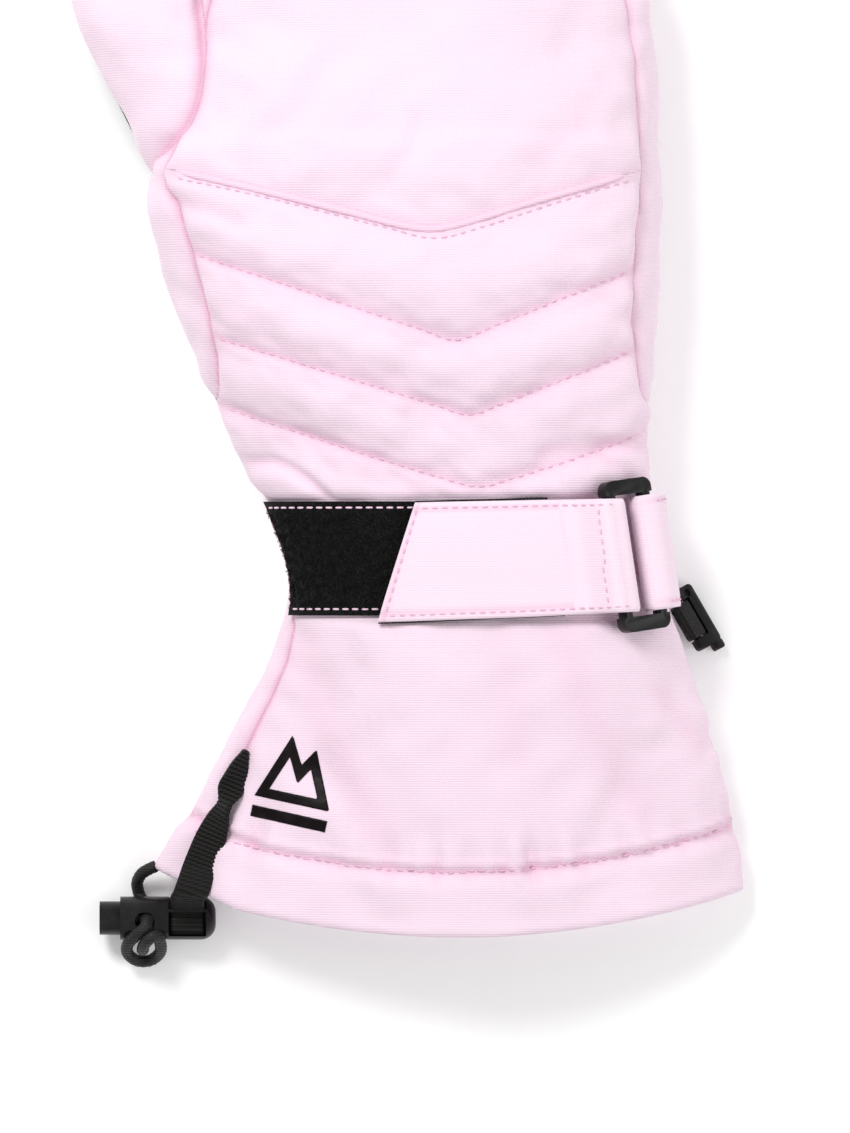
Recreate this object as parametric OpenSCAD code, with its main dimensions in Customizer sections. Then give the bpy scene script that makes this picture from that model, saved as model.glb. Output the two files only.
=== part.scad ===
// Padded ski mitten for the right hand, lying palm down.
// +Y points to the fingertips, +Z out of the back of the hand, millimetres.
// The origin is on the resting plane, under the middle of the wrist.

/* [Hand] */
// Distance from the wrist line to the fingertips
hand_len = 200; // [195:1:205]
// Where the finger pocket starts to round off
round_from = 140; // [136:1:144]
// Thickness of the outer fabric
shell_t = 0.9; // [0.8:0.05:1]
// Thickness of the insulation
wadding_t = 4; // [3.5:0.1:4]
// Thickness of the fleece lining
fleece_t = 1.2; // [1:0.1:1.3]

/* [Gauntlet] */
// Distance from the wrist line to the lowest point of the hem
cuff_len = 98; // [97:0.5:99]
// Radius of the hem's curve in plan
hem_r = 250; // [240:5:260]
// Depth of the hem
hem_depth = 18; // [17:0.5:19]

/* [Strap] */
// Width of the wrist strap
strap_w = 30.4; // [30:0.1:30.6]
// Thickness of the wrist strap
strap_t = 1.5; // [1.2:0.1:1.6]
// Length of the ring that the strap and the tab share
ring_len = 39.6; // [39:0.2:40.4]
// Distance between the ring's two long bars
bar_gap = 11.2; // [11:0.1:11.6]
// Radius of the ring's bars
bar_r = 1.9; // [1.8:0.05:1.95]

/* [Cord lock] */
// Length of the lock's body
lock_len = 25; // [24.5:0.5:25.5]
// Radius of the lock's barrel
lock_r = 5.65; // [5.6:0.05:5.7]
// Thickness of the lock where it is flattened
lock_t = 9.4; // [9.2:0.1:9.4]
// How far the plunger travels
plunger_travel = 2.6; // [2:0.1:2.6]
// Diameter of the elastic drawcord
cord_d = 3.2; // [3:0.1:3.2]

/* [Clip] */
// Length of the mitten clip along its bars
clip_len = 17; // [16.5:0.5:17.5]
// Width of the clip's webbing
clip_web_w = 10; // [9.6:0.1:10.4]

/* [Hidden] */

gap = 0.35;          // clearance between neighbouring pieces
tall = 90;           // height of the plan-view cutters
pink = [0.93, 0.72, 0.82];
dark = [0.05, 0.05, 0.05];

// Plan outline and height of the outer surface, station by station:
// [y, left x, right x, top z, side seam z, roundness of the back]
stations = [[-106, -89, 83, 31, 6, 1.55],
            [-84, -78, 77, 32, 6, 1.6],
            [-64, -66.5, 74, 34, 8, 1.7],
            [-42, -54.5, 67.5, 36, 11, 1.9],
            [-22, -45, 61, 38, 14, 2.1],
            [-6, -42, 55.5, 38, 16, 2.3],
            [12, -46.8, 52, 38, 17, 2.4],
            [30, -55.5, 51.5, 40, 18, 2.4],
            [50, -65, 52.5, 45, 19, 2.4],
            [75, -74, 53.5, 48, 20, 2.4],
            [100, -78.5, 54, 49, 20, 2.4],
            [120, -72, 53.3, 48, 20, 2.4],
            [140, -69, 51.5, 46, 20, 2.4],
            [210, -62, 46, 46, 20, 2.4]];

// Cross sections of the hand up to the round end, then fractions of the round end
rows_y = [-84, -66, -52, -40, -28, -17, -6, 6, 18, 32, 46, 60, 73.3, 88, 101, 114, 127, 140];
rows_cap = [0.2, 0.36, 0.52, 0.66, 0.78, 0.88, 0.955];
around = 28;         // points in each cross section

// Thumb: start, middle and end of its curved axis, height, half width and half thickness
thumb_a = [-44, 62];
thumb_b = [-56, 110];
thumb_c = [-94, 167];
thumb_z = 19;
thumb_w = 20.5;
thumb_h = 17.5;

// Seam lines in plan
seam_thumb_side = [[-66, 36], [-58, 40], [-61, 47], [-63, 62], [-67.8, 80], [-71.5, 92.5],
                   [-74.6, 99.8], [-70, 111], [-67, 120], [-63, 145], [-54, 168], [-38, 185]];
seam_outer_side = [[20, 186], [37, 169], [46, 146], [49, 119], [49.8, 99.5], [48.4, 75],
                   [49.1, 55], [51.2, 42], [60, 37]];
seam_tip = [-12, 195];
knuckle_line = [[-90, 104], [-74.6, 99.8], [-40, 91.3], [-14, 84.6], [-5, 83.3],
                [3, 85], [22, 91.2], [49.7, 99.4], [70, 105]];
gauntlet_seam = [[-39, 0], [-41.6, -15.6], [-45.5, -31], [-53.5, -50.5], [-62.4, -73],
                 [-68, -92], [-72, -110]];
palm_seam_left = [[-66, 30], [-60, 48], [-66, 70], [-68, 92], [-62, 112], [-58, 140],
                  [-50, 162], [-34, 180]];
palm_seam_right = [[18, 181], [34, 163], [43, 141], [45, 110], [44, 75], [47, 48], [58, 30]];

// Hem: centre of its curve in plan
hem_x = 2;
hem_y = hem_r - cuff_len;
corner_cut = [[-58, -90], [-84, -77.6]];

// Ring: centre, turn in plan and slope down the side of the wrist
ring_x = 47.8;
ring_y = 1.3;
ring_z = 35.2;
ring_turn = 8.5;
ring_slope = 36;
fold_r = bar_r + gap + 1.9;
slot_r = bar_r + gap;

// Cord lock: middle of its axis, and the line at which its webbing bends
lock_x = -86.3;
lock_y = -93.8;
lock_z = 7.2;
bore_r = 4.5;
plunger_r = 4.4;
web_x = -68.7;       // middle of the lock's webbing
web_w = 9;
web_t = 2.2;
flex_y = -88.6;
flex_z = 15.8;

// Route of the free drawcord, from the gusset through the lock to its loop
tail_route = [[-77, -80.2, 6.6], [-79, -81.1, 6.2], [-80.9, -82.4, 5], [-82, -84.6, 3],
              [-81.7, -87, 1.9]];
knot_route = [[-81.3, -88.1, 1.9], [-80.6, -89.6, 2.8], [-80.1, -91.1, 4.8], [-79.8, -92.3, 7.2],
              [-79.6, -93.5, 9.6], [-79.3, -94.6, 12], [-79.6, -96, 14], [-81.8, -98, 13.4],
              [-84.2, -100.4, 10.4], [-84.4, -103, 6.8], [-82, -105, 4.2], [-78.6, -105, 4],
              [-76.2, -103.2, 6.4], [-75.6, -101.2, 10], [-76.2, -98.6, 13.9]];

// ---------- numbers ----------

function knot_of(y, i = 0) =
    i >= len(stations) - 2 || y < stations[i + 1][0] ? i : knot_of(y, i + 1);

function slope_at(i, k) =
    let (a = max(i - 1, 0), b = min(i + 1, len(stations) - 1))
    (stations[b][k] - stations[a][k]) / (stations[b][0] - stations[a][0]);

// Smooth value of column k of the stations at y
function along(y, k) =
    let (i = knot_of(y), h = stations[i + 1][0] - stations[i][0], t = (y - stations[i][0]) / h)
    (2 * t * t * t - 3 * t * t + 1) * stations[i][k] + (t * t * t - 2 * t * t + t) * h * slope_at(i, k)
    + (3 * t * t - 2 * t * t * t) * stations[i + 1][k] + (t * t * t - t * t) * h * slope_at(i + 1, k);

// How far the round end has closed at y, for the surface d inside the outer one
function closing(y, d) =
    y <= round_from ? 1
    : sqrt(max(0, 1 - pow((y - round_from) / (hand_len - d - round_from), 2.2)));

// Point of the surface d inside the outer one, at angle a round the section at y
function skin(a, y, d) =
    let (w = (along(y, 2) - along(y, 1)) / 2, m = (along(y, 2) + along(y, 1)) / 2,
         zs = along(y, 4), q = closing(y, d), qz = pow(q, 0.7), up = sin(a) >= 0,
         n = up ? along(y, 5) : 2.6,
         sx = sign(cos(a)) * pow(abs(cos(a)), 2 / n), sz = pow(abs(sin(a)), 2 / n))
    [m + (w - d) * q * sx, y,
     up ? zs + (along(y, 3) - zs - d) * qz * sz
        : max(zs - (zs - d) * qz, zs - (zs * 1.12 - d) * qz * sz)];

// Height of the outer surface, raised by d, at a point of the back of the hand
function back_z(x, y, d) =
    let (w = (along(y, 2) - along(y, 1)) / 2 + d, m = (along(y, 2) + along(y, 1)) / 2,
         n = along(y, 5), r = min(1, abs(x - m) / w), zs = along(y, 4))
    zs + (along(y, 3) + d - zs) * pow(1 - pow(r, n), 1 / n);

function unit(v) = v / norm(v);

// Ring of points round p, square to direction t
function ring_points(p, t, r, sides) =
    let (u = unit(cross(t, abs(t[2]) > 0.9 ? [1, 0, 0] : [0, 0, 1])), v = cross(u, t))
    [for (i = [0 : sides - 1]) p + r * (cos(360 * i / sides) * u + sin(360 * i / sides) * v)];

function sweep_rings(route, r, sides) =
    [for (i = [0 : len(route) - 1])
        ring_points(route[i],
                    unit(route[min(i + 1, len(route) - 1)] - route[max(i - 1, 0)]), r, sides)];

// Smooth curve through the points of a route, with n steps between points
function smooth(route, n) =
    [for (i = [0 : len(route) - 2])
        let (a = route[max(i - 1, 0)], b = route[i], c = route[i + 1],
             e = route[min(i + 2, len(route) - 1)])
        for (k = [0 : n - 1])
            let (t = k / n)
            0.5 * (2 * b + (c - a) * t + (2 * a - 5 * b + 4 * c - e) * t * t
                   + (3 * b - a - 3 * c + e) * t * t * t),
     route[len(route) - 1]];

// ---------- shapes ----------

// Closed solid through a list of rings that all have the same number of points
module tube(rings)
{
    n = len(rings[0]);
    m = len(rings);
    polyhedron(
        points = [for (r = rings) for (p = r) p],
        faces = concat(
            [[for (i = [0 : n - 1]) i]],
            [for (k = [0 : m - 2]) for (i = [0 : n - 1])
                [k * n + i, (k + 1) * n + i, k * n + (i + 1) % n]],
            [for (k = [0 : m - 2]) for (i = [0 : n - 1])
                [k * n + (i + 1) % n, (k + 1) * n + i, (k + 1) * n + (i + 1) % n]],
            [[for (i = [0 : n - 1]) m * n - 1 - i]]));
}

// The whole hand and gauntlet, d inside the outer surface, from y0 to the tip
module hand_solid(d, y0 = -106)
{
    ys = concat([y0], [for (y = rows_y) if (y > y0 + 3) y],
                [for (f = rows_cap) round_from + f * (hand_len - d - round_from)]);
    tube([for (y = ys) [for (i = [0 : around - 1]) skin(-360 * i / around, y, d)]]);
}

function thumb_axis(t) =
    (1 - t) * (1 - t) * thumb_a + 2 * t * (1 - t) * thumb_b + t * t * thumb_c;

module thumb_solid(d)
{
    steps = [0, 0.15, 0.3, 0.45, 0.58, 0.7, 0.8, 0.88, 0.94, 0.98];
    sides = 18;
    reach = 1 - d / 105;
    tube([for (s = steps)
        let (t = s * reach, p = thumb_axis(t),
             q = unit(2 * (1 - t) * (thumb_b - thumb_a) + 2 * t * (thumb_c - thumb_b)),
             taper = 1 - 0.12 * t,
             end = s < 0.7 ? 1 : sqrt(1 - pow((s - 0.7) / 0.3, 2.2)),
             w = (thumb_w * taper - d) * end, h = (thumb_h * taper - d) * pow(end, 0.8))
        [for (i = [0 : sides - 1])
            let (a = -360 * i / sides)
            [p[0] + q[1] * w * cos(a), p[1] - q[0] * w * cos(a), thumb_z + h * sin(a)]]]);
}

module mitt(d, y0 = -106)
{
    hand_solid(d, y0);
    thumb_solid(d);
}

// Fabric between the surfaces at depth outer and inner
module layer(outer, inner, y0 = -106)
{
    difference() {
        mitt(outer, y0);
        mitt(inner, y0 - 2);
    }
}

// Hand and gauntlet fabric inside the curve of the hem
module trim_hem(depth = 0)
{
    intersection() {
        children();
        difference() {
            translate([hem_x, hem_y, -5]) cylinder(r = hem_r - depth, h = tall, $fn = 240);
            translate([0.43, 0.9, 0] * depth)
                prism([corner_cut[0], corner_cut[1], [-110, -77], [-110, -120], [-58, -120]]);
        }
    }
}

module prism(outline)
{
    translate([0, 0, -5]) linear_extrude(tall) polygon(outline);
}

// Everything above the side seams
module upper_half()
{
    ys = [-110, -84, -64, -42, -22, -6, 10, 30, 50, 75, 210];
    translate([-150, 0, 0]) rotate([90, 0, 90]) linear_extrude(300)
        polygon(concat([for (y = ys) [y, along(min(y, 140), 4)]], [[210, 90], [-110, 90]]));
}

module shell_fabric()
{
    difference() {
        hand_solid(0);
        mitt(shell_t, -108);
    }
}

module box(low, high)
{
    translate(low) cube(high - low);
}

// Plan areas of the panels
back_area = concat([[-100, -8], [-100, 33]], seam_thumb_side, [seam_tip], seam_outer_side,
                   [[100, 38], [100, -8]]);
palm_area = concat([[-100, -8], [-100, 30]], palm_seam_left, [[-10, 189]], palm_seam_right,
                   [[100, 30], [100, -8]]);
above_knuckles = concat(knuckle_line, [[110, 260], [-110, 260]]);
patch_area = [[-40, 34], [-50, 60], [-46, 78], [-40, 96], [-46, 125], [-40, 152], [-22, 166],
              [6, 166], [26, 152], [33, 125], [34, 60], [26, 34]];
gusset_area = concat(gauntlet_seam, [[-130, -110], [-130, 0]]);

// Cut fabric to the back of the hand, inside the two seam lines
module back_region()
{
    hand_part() intersection() {
        children();
        upper_half();
        prism(back_area);
    }
}

module hand_part()
{
    intersection() {
        children();
        box([-150, -3, -5], [150, 220, 85]);
    }
}

module cuff_part()
{
    trim_hem() intersection() {
        children();
        box([-150, -120, -5], [150, -3, 85]);
    }
}

// Parts of the hand that are neither back nor palm
module side_region()
{
    hand_part() difference() {
        children();
        intersection() {
            upper_half();
            prism(back_area);
        }
        difference() {
            prism(palm_area);
            upper_half();
        }
    }
}

// ---------- sewn panels ----------

module back_hand_panel()
{
    color(pink) resize([0, 0, 0]) difference() {
        back_region() shell_fabric();
        prism(above_knuckles);
    }
}

module finger_back_panel()
{
    color(pink) resize([0, 0, 0]) intersection() {
        back_region() shell_fabric();
        prism(above_knuckles);
    }
}

module thumb_side_gusset()
{
    color(pink) resize([0, 0, 0]) intersection() {
        side_region() shell_fabric();
        box([-150, -5, -5], [-12, 117, 85]);
    }
}

module finger_side_gusset()
{
    color(pink) resize([0, 0, 0]) intersection() {
        side_region() shell_fabric();
        box([-150, 117, -5], [-12, 220, 85]);
    }
}

module outer_side_gusset()
{
    color(pink) resize([0, 0, 0]) intersection() {
        side_region() shell_fabric();
        box([-12, 35, -5], [150, 220, 85]);
    }
}

module palm_panel()
{
    color(pink) resize([0, 0, 0]) hand_part() difference() {
        intersection() {
            shell_fabric();
            prism(palm_area);
        }
        upper_half();
        prism(patch_area);
    }
}

module palm_reinforcement()
{
    color(dark) resize([0, 0, 0]) difference() {
        intersection() {
            shell_fabric();
            prism(patch_area);
        }
        upper_half();
    }
}

module thumb_fabric()
{
    difference() {
        thumb_solid(0);
        thumb_solid(shell_t);
        hand_solid(-gap / 4);
    }
}

module thumb_back_panel()
{
    color(pink) resize([0, 0, 0]) intersection() {
        thumb_fabric();
        box([-150, 0, thumb_z], [150, 220, 85]);
    }
}

module thumb_palm_panel()
{
    color(dark) resize([0, 0, 0]) difference() {
        thumb_fabric();
        box([-150, 0, thumb_z], [150, 220, 85]);
    }
}

module gauntlet_back_panel()
{
    color(pink) resize([0, 0, 0]) cuff_part() difference() {
        intersection() {
            shell_fabric();
            upper_half();
        }
        prism(gusset_area);
    }
}

module gauntlet_side_gusset()
{
    color(pink) resize([0, 0, 0]) cuff_part() intersection() {
        shell_fabric();
        prism(gusset_area);
    }
}

module gauntlet_palm_panel()
{
    color(pink) resize([0, 0, 0]) cuff_part() difference() {
        shell_fabric();
        upper_half();
        prism(gusset_area);
    }
}

// Facing of the hem, folded round the drawcord
module hem_band()
{
    facing = shell_t + gap;
    channel = facing + cord_d + 1.6;
    color(pink) resize([0, 0, 0]) difference() {
        trim_hem() difference() {
            hand_solid(facing);
            hand_solid(channel + shell_t, -108);
        }
        translate([hem_x, hem_y, -5]) cylinder(r = hem_r - hem_depth, h = tall, $fn = 240);
        trim_hem(1.2) difference() {
            hand_solid(facing - 0.1, -107);
            hand_solid(channel, -108);
            translate([hem_x, hem_y, -5])
                cylinder(r = hem_r - hem_depth + 1.2, h = tall, $fn = 240);
        }
    }
}

module knuckle_piping()
{
    lift = 1.8;
    line = [for (p = [[-72.6, 101.3], [-56, 97.4], [-40, 93.5], [-24, 89.5], [-13, 86.7], [-5, 85.6],
                      [3, 87], [22, 93], [36, 97], [48, 100.8]])
            [p[0], p[1], back_z(p[0], p[1], lift)]];
    color(pink) tube(sweep_rings(line, 1, 8));
}

// Flat generic mark: two peaks and a bar, laid on the gauntlet
module emblem()
{
    color(dark) resize([0, 0, 0]) intersection() {
        difference() {
            hand_solid(-gap - 0.5);
            hand_solid(-gap);
        }
        translate([-40, -58, 15]) rotate([0, 0, -12]) linear_extrude(30) {
            difference() {
                polygon([[-10, -5.5], [-3.4, 12], [0.4, 4.8], [3.4, 9.6], [10, -5.5]]);
                polygon([[-6.5, -3], [-3, 6.2], [0.3, -0.2], [3, 4.2], [6.3, -3]]);
            }
            polygon([[-10, -11], [10, -11], [10, -8], [-10, -8]]);
        }
    }
}

// ---------- inner layers ----------

wadding_d = shell_t + gap;
insert_d = wadding_d + wadding_t + gap;
lining_d = insert_d + 0.4 + gap;
lining_in = lining_d + fleece_t;

module insulation()
{
    color([0.9, 0.9, 0.86]) resize([0, 0, 0]) layer(wadding_d, wadding_d + wadding_t, 12);
}

module waterproof_insert()
{
    color([0.8, 0.82, 0.85]) resize([0, 0, 0]) layer(insert_d, insert_d + 0.4, 10);
}

module hand_lining()
{
    color([0.85, 0.65, 0.74]) resize([0, 0, 0]) layer(lining_d, lining_in, 2);
}

// Gauntlet lining, which steps in towards the hand lining at the wrist
module gauntlet_lining()
{
    ys = [-80, -66, -52, -40, -28, -17, -6, 1];
    depth = function(y) 1.6 + (lining_d - 1.6) * pow(max(0, (y + 66) / 67), 2);
    color([0.85, 0.65, 0.74]) resize([0, 0, 0]) intersection() {
        difference() {
            tube([for (y = ys)
                [for (i = [0 : around - 1]) skin(-360 * i / around, y, depth(y))]]);
            tube([for (y = concat([-82], [for (k = [1 : 6]) ys[k]], [2]))
                [for (i = [0 : around - 1]) skin(-360 * i / around, y, depth(y) + 0.9)]]);
        }
        translate([hem_x, hem_y, -5])
            cylinder(r = hem_r - hem_depth - gap, h = tall, $fn = 240);
    }
}

module wrist_elastic()
{
    color("white") box([-16, -5, shell_t + gap], [27, 3, shell_t + gap + 1]);
}

// ---------- wrist closure ----------

loop_d = 0.3;
loop_t = 1.2;
hook_d = loop_d + loop_t + gap + 0.5;
hook_t = 1;
strap_d = hook_d + hook_t;

// Receiver patch: follows the wrist from under the strap to the thumb side
module loop_patch()
{
    nx = 14;
    ny = 5;
    pt = function(i, k, d)
        let (v = k / ny, y = 15.2 - 29.6 * v, a = 92 + (172 - 7 * v - 92) * i / nx) skin(a, y, -d);
    color(dark) tube([for (i = [0 : nx])
        concat([for (k = [0 : ny]) pt(i, k, loop_d)],
               [for (k = [ny : -1 : 0]) pt(i, k, loop_d + loop_t)])]);
}

// Shapes drawn across the wrist, drawn out along the ring's bars
module along_bar(length)
{
    translate([ring_x, ring_y, 0]) rotate([0, 0, ring_turn]) rotate([90, 0, 0])
        linear_extrude(length, center = true) children();
}

// Places a shape at bar side s (-1 for the strap's bar, 1 for the tab's)
module at_bar(s)
{
    translate([0, ring_z]) rotate(-ring_slope) translate([s * bar_gap / 2, 0]) children();
}

function wrist_line(x0, x1, n, d) =
    [for (i = [0 : n]) let (x = x0 + (x1 - x0) * i / n) [x - ring_x, back_z(x, ring_y, d)]];

function reversed(points) = [for (i = [len(points) - 1 : -1 : 0]) points[i]];

bar_left = [-bar_gap / 2 * cos(ring_slope), ring_z + bar_gap / 2 * sin(ring_slope)];
function from_bar(x, y) =
    bar_left + [x * cos(ring_slope) + y * sin(ring_slope), y * cos(ring_slope) - x * sin(ring_slope)];

strap_plan = [[-9.1, 14.9], [-18.8, -16.2], [20, -14.8], [62, -12.7], [62, 16.2], [20, 15.5]];

module wrist_strap()
{
    color(pink) intersection() {
        along_bar(44) difference() {
            union() {
                polygon(concat(wrist_line(-24, 30, 9, strap_d + strap_t),
                               [from_bar(-4, fold_r - 0.1), from_bar(0, fold_r - 0.15)],
                               [from_bar(0, -fold_r + 0.15), from_bar(-4, -fold_r + 1.4)],
                               wrist_line(34, 34, 1, strap_d),
                               reversed(wrist_line(-24, 30, 9, strap_d))));
                at_bar(-1) circle(r = fold_r, $fn = 48);
            }
            at_bar(-1) circle(r = slot_r, $fn = 48);
        }
        translate([0, 0, 10]) linear_extrude(60) polygon(strap_plan);
    }
}

module hook_tape()
{
    color(dark) intersection() {
        along_bar(44) polygon(concat(wrist_line(-24, 30, 9, strap_d),
                                     reversed(wrist_line(-24, 30, 9, hook_d))));
        translate([0, 0, 10]) linear_extrude(60)
            polygon([[-9, 15.3], [-18.6, -16.6], [28, -14.6], [28, 16.3]]);
    }
}

bar_right = [bar_gap / 2 * cos(ring_slope), ring_z - bar_gap / 2 * sin(ring_slope)];

// Tab that holds the ring to the outer side seam
module side_tab()
{
    color(pink) along_bar(strap_w - 0.4) difference() {
        union() {
            polygon([bar_right + [0, fold_r - 0.15], bar_right + [3.2, fold_r - 1.7],
                     bar_right + [5.4, -2], bar_right + [5.9, -7], bar_right + [5.4, -13.5],
                     bar_right + [3.9, -13.5], bar_right + [3.8, -7.5],
                     bar_right + [0, -fold_r + 0.15]]);
            at_bar(1) circle(r = fold_r, $fn = 48);
        }
        at_bar(1) circle(r = slot_r, $fn = 48);
    }
}

module rounded_rect(x, y, r)
{
    square([x - 2 * r, y], center = true);
    square([x, y - 2 * r], center = true);
    for (i = [-1, 1], j = [-1, 1])
        translate([i * (x / 2 - r), j * (y / 2 - r)]) circle(r = r, $fn = 32);
}

module place_ring()
{
    translate([ring_x, ring_y, ring_z]) rotate([0, 0, ring_turn]) rotate([0, ring_slope, 0]) children();
}

module strap_ring()
{
    end = 3.9;
    color(dark) place_ring() union() {
        linear_extrude(3.4, center = true) difference() {
            rounded_rect(bar_gap + 2 * bar_r, ring_len, 2.6);
            square([bar_gap + 2 * bar_r + 1, ring_len - 2 * end], center = true);
        }
        for (s = [-1, 1])
            translate([s * bar_gap / 2, 0, 0]) rotate([90, 0, 0])
                cylinder(r = bar_r, h = ring_len - 2 * end + 1, center = true, $fn = 48);
    }
}

// ---------- mitten clip ----------

clip_x = 62.4;
clip_y = -16;
clip_z = 5.3;
clip_turn = 30;
clip_slope = 40;
clip_pin_r = 1.2;
clip_out = 4.6;      // distance from the inner bar to the middle of the outer bar
clip_window = clip_web_w + 0.8;

module place_clip()
{
    translate([clip_x, clip_y, clip_z]) rotate([0, 0, clip_turn]) children();
}

module clip_webbing()
{
    color(dark) place_clip() rotate([90, 0, 0])
        linear_extrude(clip_web_w, center = true) difference() {
            union() {
                circle(r = clip_pin_r + gap + 1, $fn = 48);
                polygon([[-2.4, -0.4], [-2.6, 6], [-1.9, 9.5], [-0.5, 9.7], [-0.9, 6], [2, 1.3]]);
            }
            circle(r = clip_pin_r + gap, $fn = 48);
        }
}

// Frame clip: pin on the seam side, outer bar, an eyelet and a hook end
module mitten_clip()
{
    thick = 3;
    color(dark) place_clip() rotate([0, clip_slope, 0]) union() {
        rotate([90, 0, 0]) cylinder(r = clip_pin_r, h = clip_window + 1, center = true, $fn = 48);
        linear_extrude(thick, center = true) difference() {
            translate([2.3, 0]) rounded_rect(7.4, clip_len, 1.3);
            translate([-2.2, 0]) square([10.6, clip_window], center = true);
            translate([3.4, clip_len / 2 - 2]) circle(r = 1.1, $fn = 32);
        }
        translate([clip_out + 0.2, -clip_len / 2 - 0.8, 0]) linear_extrude(thick, center = true)
            rounded_rect(2.2, 2.6, 0.8);
    }
}

// ---------- cord lock ----------

// Ribbon that follows a line of [x, y, z, half width, turn of its width in plan]
module ribbon(line, thick)
{
    tube([for (p = line)
        let (u = [cos(p[4]), sin(p[4]), 0] * p[3], t = [0, 0, thick / 2])
        [[p[0], p[1], p[2]] - u - t, [p[0], p[1], p[2]] + u - t,
         [p[0], p[1], p[2]] + u + t, [p[0], p[1], p[2]] - u + t]]);
}

// Webbing from the gauntlet seam down to the line where it bends over the hem
module lock_webbing()
{
    line = [[-52.4, -49.4, 0.5, 0], [-53, -54, 2.4, 10], [-55, -60, 2.8, 25], [-58.4, -65.5, 3.4, 12],
            [-62.2, -73, 4, 8], [-65, -80, 4.3, 5]];
    color(dark) union() {
        ribbon(concat([for (p = line) [p[0], p[1], back_z(p[0], p[1], 0) + 3, p[2], p[3]]],
                      [[-67.2, -86, 20.6, 4.5, 3], [-68.4, -88.2, 17.8, 4.5, 0]]), 1.6);
    }
}

// End of the webbing, inside the lock
module lock_webbing_end()
{
    color(dark) union() {
        translate([web_x - web_w / 2, 0, 0]) rotate([90, 0, 90]) linear_extrude(web_w)
            polygon([[flex_y - 0.3, flex_z - 0.6], [flex_y - 1.9, flex_z - 0.6],
                     [-92.5, lock_z + web_t / 2], [-98.2, lock_z + web_t / 2],
                     [-98.2, lock_z - web_t / 2], [-91.4, lock_z - web_t / 2]]);
    }
}

module lock_barrel(r, x0, x1, thick)
{
    intersection() {
        translate([lock_x + x0, lock_y, lock_z]) rotate([0, 90, 0])
            cylinder(r = r, h = x1 - x0, $fn = 96);
        translate([lock_x - 50, lock_y - 20, lock_z - thick / 2]) cube([100, 40, thick]);
    }
}

// Line of the cord through the lock, leaning back from the hem
module cord_hole(r, wide)
{
    for (dx = [-wide, wide])
        translate([-79.8 + dx, -92.3, lock_z]) rotate([26, 0, 0])
            cylinder(r = r, h = 30, center = true, $fn = 48);
    if (wide > 0)
        translate([-79.8, -92.3, lock_z]) rotate([26, 0, 0])
            cube([2 * wide, 2 * r, 30], center = true);
}

module cord_lock_body()
{
    window_x = web_x - web_w / 2 - 0.4;
    window_w = web_w + 0.8;
    nose = 4;
    color(dark) difference() {
        intersection() {
            translate([lock_x, lock_y, lock_z]) rotate([0, 90, 0]) rotate_extrude($fn = 96) {
                square([lock_r - nose, lock_len]);
                square([lock_r, lock_len - nose]);
                intersection() {
                    translate([lock_r - nose, lock_len - nose]) circle(r = nose, $fn = 48);
                    square([lock_r, lock_len]);
                }
            }
            translate([lock_x - 5, lock_y - 20, lock_z - lock_t / 2]) cube([60, 40, lock_t]);
        }
        lock_barrel(bore_r, -1, 12.4, 7.4);
        cord_hole(cord_d / 2 + 0.5, 0.5);
        translate([-82.5, -92, lock_z - 9]) cube([5, 6, 6]);
        translate([window_x, lock_y - 4.7, lock_z]) cube([window_w, 6.4, 10]);
        translate([window_x, lock_y - 4.7, lock_z - web_t / 2 - 0.5]) cube([window_w, 20, web_t + 1]);
        translate([window_x, lock_y, lock_z - web_t / 2 - 0.5]) rotate([35, 0, 0])
            cube([window_w, 20, web_t + 1.6]);
    }
}

module cord_lock_plunger()
{
    slot = plunger_travel / 2 + 0.6;
    color(dark) difference() {
        lock_barrel(plunger_r, -5.4, 9.2, 7.1);
        translate([-plunger_travel / 2, 0, 0]) cord_hole(cord_d / 2 + 0.4, slot);
        translate([-79.8 - plunger_travel - 3, -92, lock_z - 9]) cube([6 + plunger_travel, 6, 6]);
    }
}

module cord_lock_spring()
{
    turns = 3;
    per_turn = 10;
    x0 = lock_x + 9.35;
    reach = 2.7;
    path = [for (i = [0 : turns * per_turn])
        let (a = 360 * i / per_turn)
        [x0 + 0.25 + reach * i / (turns * per_turn), lock_y + 2.6 * cos(a), lock_z + 2.6 * sin(a)]];
    color("silver") tube(sweep_rings(path, 0.22, 6));
}

// ---------- drawcord ----------

// Elastic inside the hem channel, from the exit round the cuff and back
module hem_drawcord()
{
    d = shell_t + gap + cord_d / 2 + 0.8;
    r = hem_r - 10;
    near = function(a, y) let (x = skin(a, y, d)[0]) hem_y - sqrt(r * r - (x - hem_x) * (x - hem_x));
    pts = [for (i = [0 : 44])
        let (a = 196 + 328 * i / 44, y = near(a, near(a, near(a, -86)))) skin(a, y, d)];
    color(dark) tube(sweep_rings(pts, cord_d / 2 - 0.15, 8));
}

module drawcord_tail()
{
    color(dark) tube(sweep_rings(smooth(tail_route, 2), cord_d / 2, 8));
}

module drawcord_knot()
{
    color(dark) tube(sweep_rings(smooth(knot_route, 2), cord_d / 2, 8));
}

back_hand_panel();
knuckle_piping();
finger_back_panel();
thumb_side_gusset();
finger_side_gusset();
outer_side_gusset();
palm_panel();
palm_reinforcement();
thumb_back_panel();
thumb_palm_panel();
gauntlet_back_panel();
gauntlet_side_gusset();
gauntlet_palm_panel();
hem_band();
emblem();
insulation();
waterproof_insert();
hand_lining();
gauntlet_lining();
wrist_elastic();
loop_patch();
wrist_strap();
hook_tape();
side_tab();
strap_ring();
clip_webbing();
mitten_clip();
lock_webbing();
lock_webbing_end();
cord_lock_body();
cord_lock_plunger();
cord_lock_spring();
hem_drawcord();
drawcord_tail();
drawcord_knot();
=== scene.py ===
import math

import bmesh
import bpy
import numpy as np
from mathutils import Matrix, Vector
from mathutils.bvhtree import BVHTree
from mathutils.kdtree import KDTree


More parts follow.
